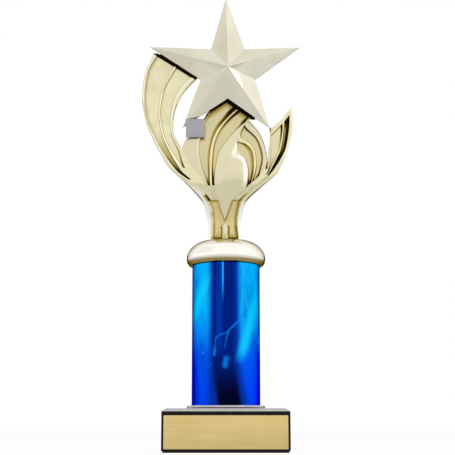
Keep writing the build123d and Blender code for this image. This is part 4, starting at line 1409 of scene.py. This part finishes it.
def studio_world():
    """White where the camera, metal or glass looks past the floor, and a soft even light elsewhere."""
    f = Finish("studio", world=True)
    rays = f.node("LightPath").outputs
    camera, metal, glass = (Channel(f, rays[name]) for name in
                            ("Is Camera Ray", "Is Glossy Ray", "Is Transmission Ray"))
    soft, white = (f.node("Background", {"Color": (1, 1, 1), "Strength": power}) for power in (0.5, 1.0))
    mixed = f.node("MixShader", {0: camera.highest(metal).highest(glass), 1: soft.outputs[0],
                                 2: white.outputs[0]})
    bpy.context.scene.world = f.closed(mixed, "OutputWorld")


def floor():
    """A wide pale floor that keeps the object's shadow."""
    bm = bmesh.new()
    bmesh.ops.create_grid(bm, x_segments=1, y_segments=1, size=FLOOR_HALF)
    f = Finish("pale_floor")
    rays = f.node("LightPath").outputs
    diffuse = f.node("BsdfDiffuse", {"Color": (0.93, 0.93, 0.93)})
    glow = f.node("Emission", {"Color": (1, 1, 1), "Strength": 1.0})
    seen = Channel(f, rays["Is Camera Ray"]) * FLOOR_SEEN_WHITE
    share = seen.highest(Channel(f, rays["Is Glossy Ray"]) * FLOOR_MIRRORED_WHITE)
    mixed = f.node("MixShader", {0: share, 1: diffuse.outputs[0], 2: glow.outputs[0]})
    placed("floor", bm, f.closed(mixed))


class TROPHY_OT_stage(bpy.types.Operator):
    """Set the floor, the lights and the camera"""

    bl_idname = "trophy.stage"
    bl_label = "Stage"

    def execute(self, context):
        studio_world()
        floor()
        for name, width, height, position, radiance in LAMPS:
            lamp(name, width, height, position, radiance)
        for card in CARDS:
            arc_card(*card)
        data = bpy.data.cameras.new("camera")
        data.sensor_width = 36.0
        data.lens = CAMERA_LENS
        data.clip_start, data.clip_end = 0.01, 20.0
        made = bpy.data.objects.new("camera", data)
        made.location = (CAMERA_SIDE, -CAMERA_DISTANCE, CAMERA_HEIGHT)
        made.rotation_euler = (math.radians(90 + CAMERA_PITCH), 0, 0)
        context.scene.collection.objects.link(made)
        context.scene.camera = made
        context.scene.view_settings.view_transform = "Standard"
        return {"FINISHED"}


class TROPHY_PT_looks(bpy.types.Panel):
    """Lists the trophy's pieces and settings"""

    bl_idname = "TROPHY_PT_looks"
    bl_label = "Column trophy"
    bl_space_type = "VIEW_3D"
    bl_region_type = "UI"
    bl_category = "Trophy"

    def draw(self, context):
        for name in TrophyLooks.__annotations__:
            self.layout.prop(looks_of(context), name)
        for operator in OPERATORS:
            self.layout.operator(operator.bl_idname)


OPERATORS = (TROPHY_OT_stage, TROPHY_OT_base, TROPHY_OT_column, TROPHY_OT_figure, TROPHY_OT_star,
             TROPHY_OT_badge, TROPHY_OT_hidden)
CLASSES = (TrophyLooks, *OPERATORS, TROPHY_PT_looks)


def register():
    """Adds the classes and the scene's settings."""
    for cls in CLASSES:
        bpy.utils.register_class(cls)
    bpy.types.Scene.trophy_looks = PointerProperty(type=TrophyLooks)


def unregister():
    """Takes them away again."""
    del bpy.types.Scene.trophy_looks
    for cls in reversed(CLASSES):
        bpy.utils.unregister_class(cls)


def main():
    """Builds everything in order."""
    register()
    bpy.ops.trophy.stage()
    bpy.ops.trophy.base()
    bpy.ops.trophy.column()
    bpy.ops.trophy.figure()
    bpy.ops.trophy.star()
    bpy.ops.trophy.badge()
    bpy.ops.trophy.hidden()


if __name__ == "__main__":
    main()
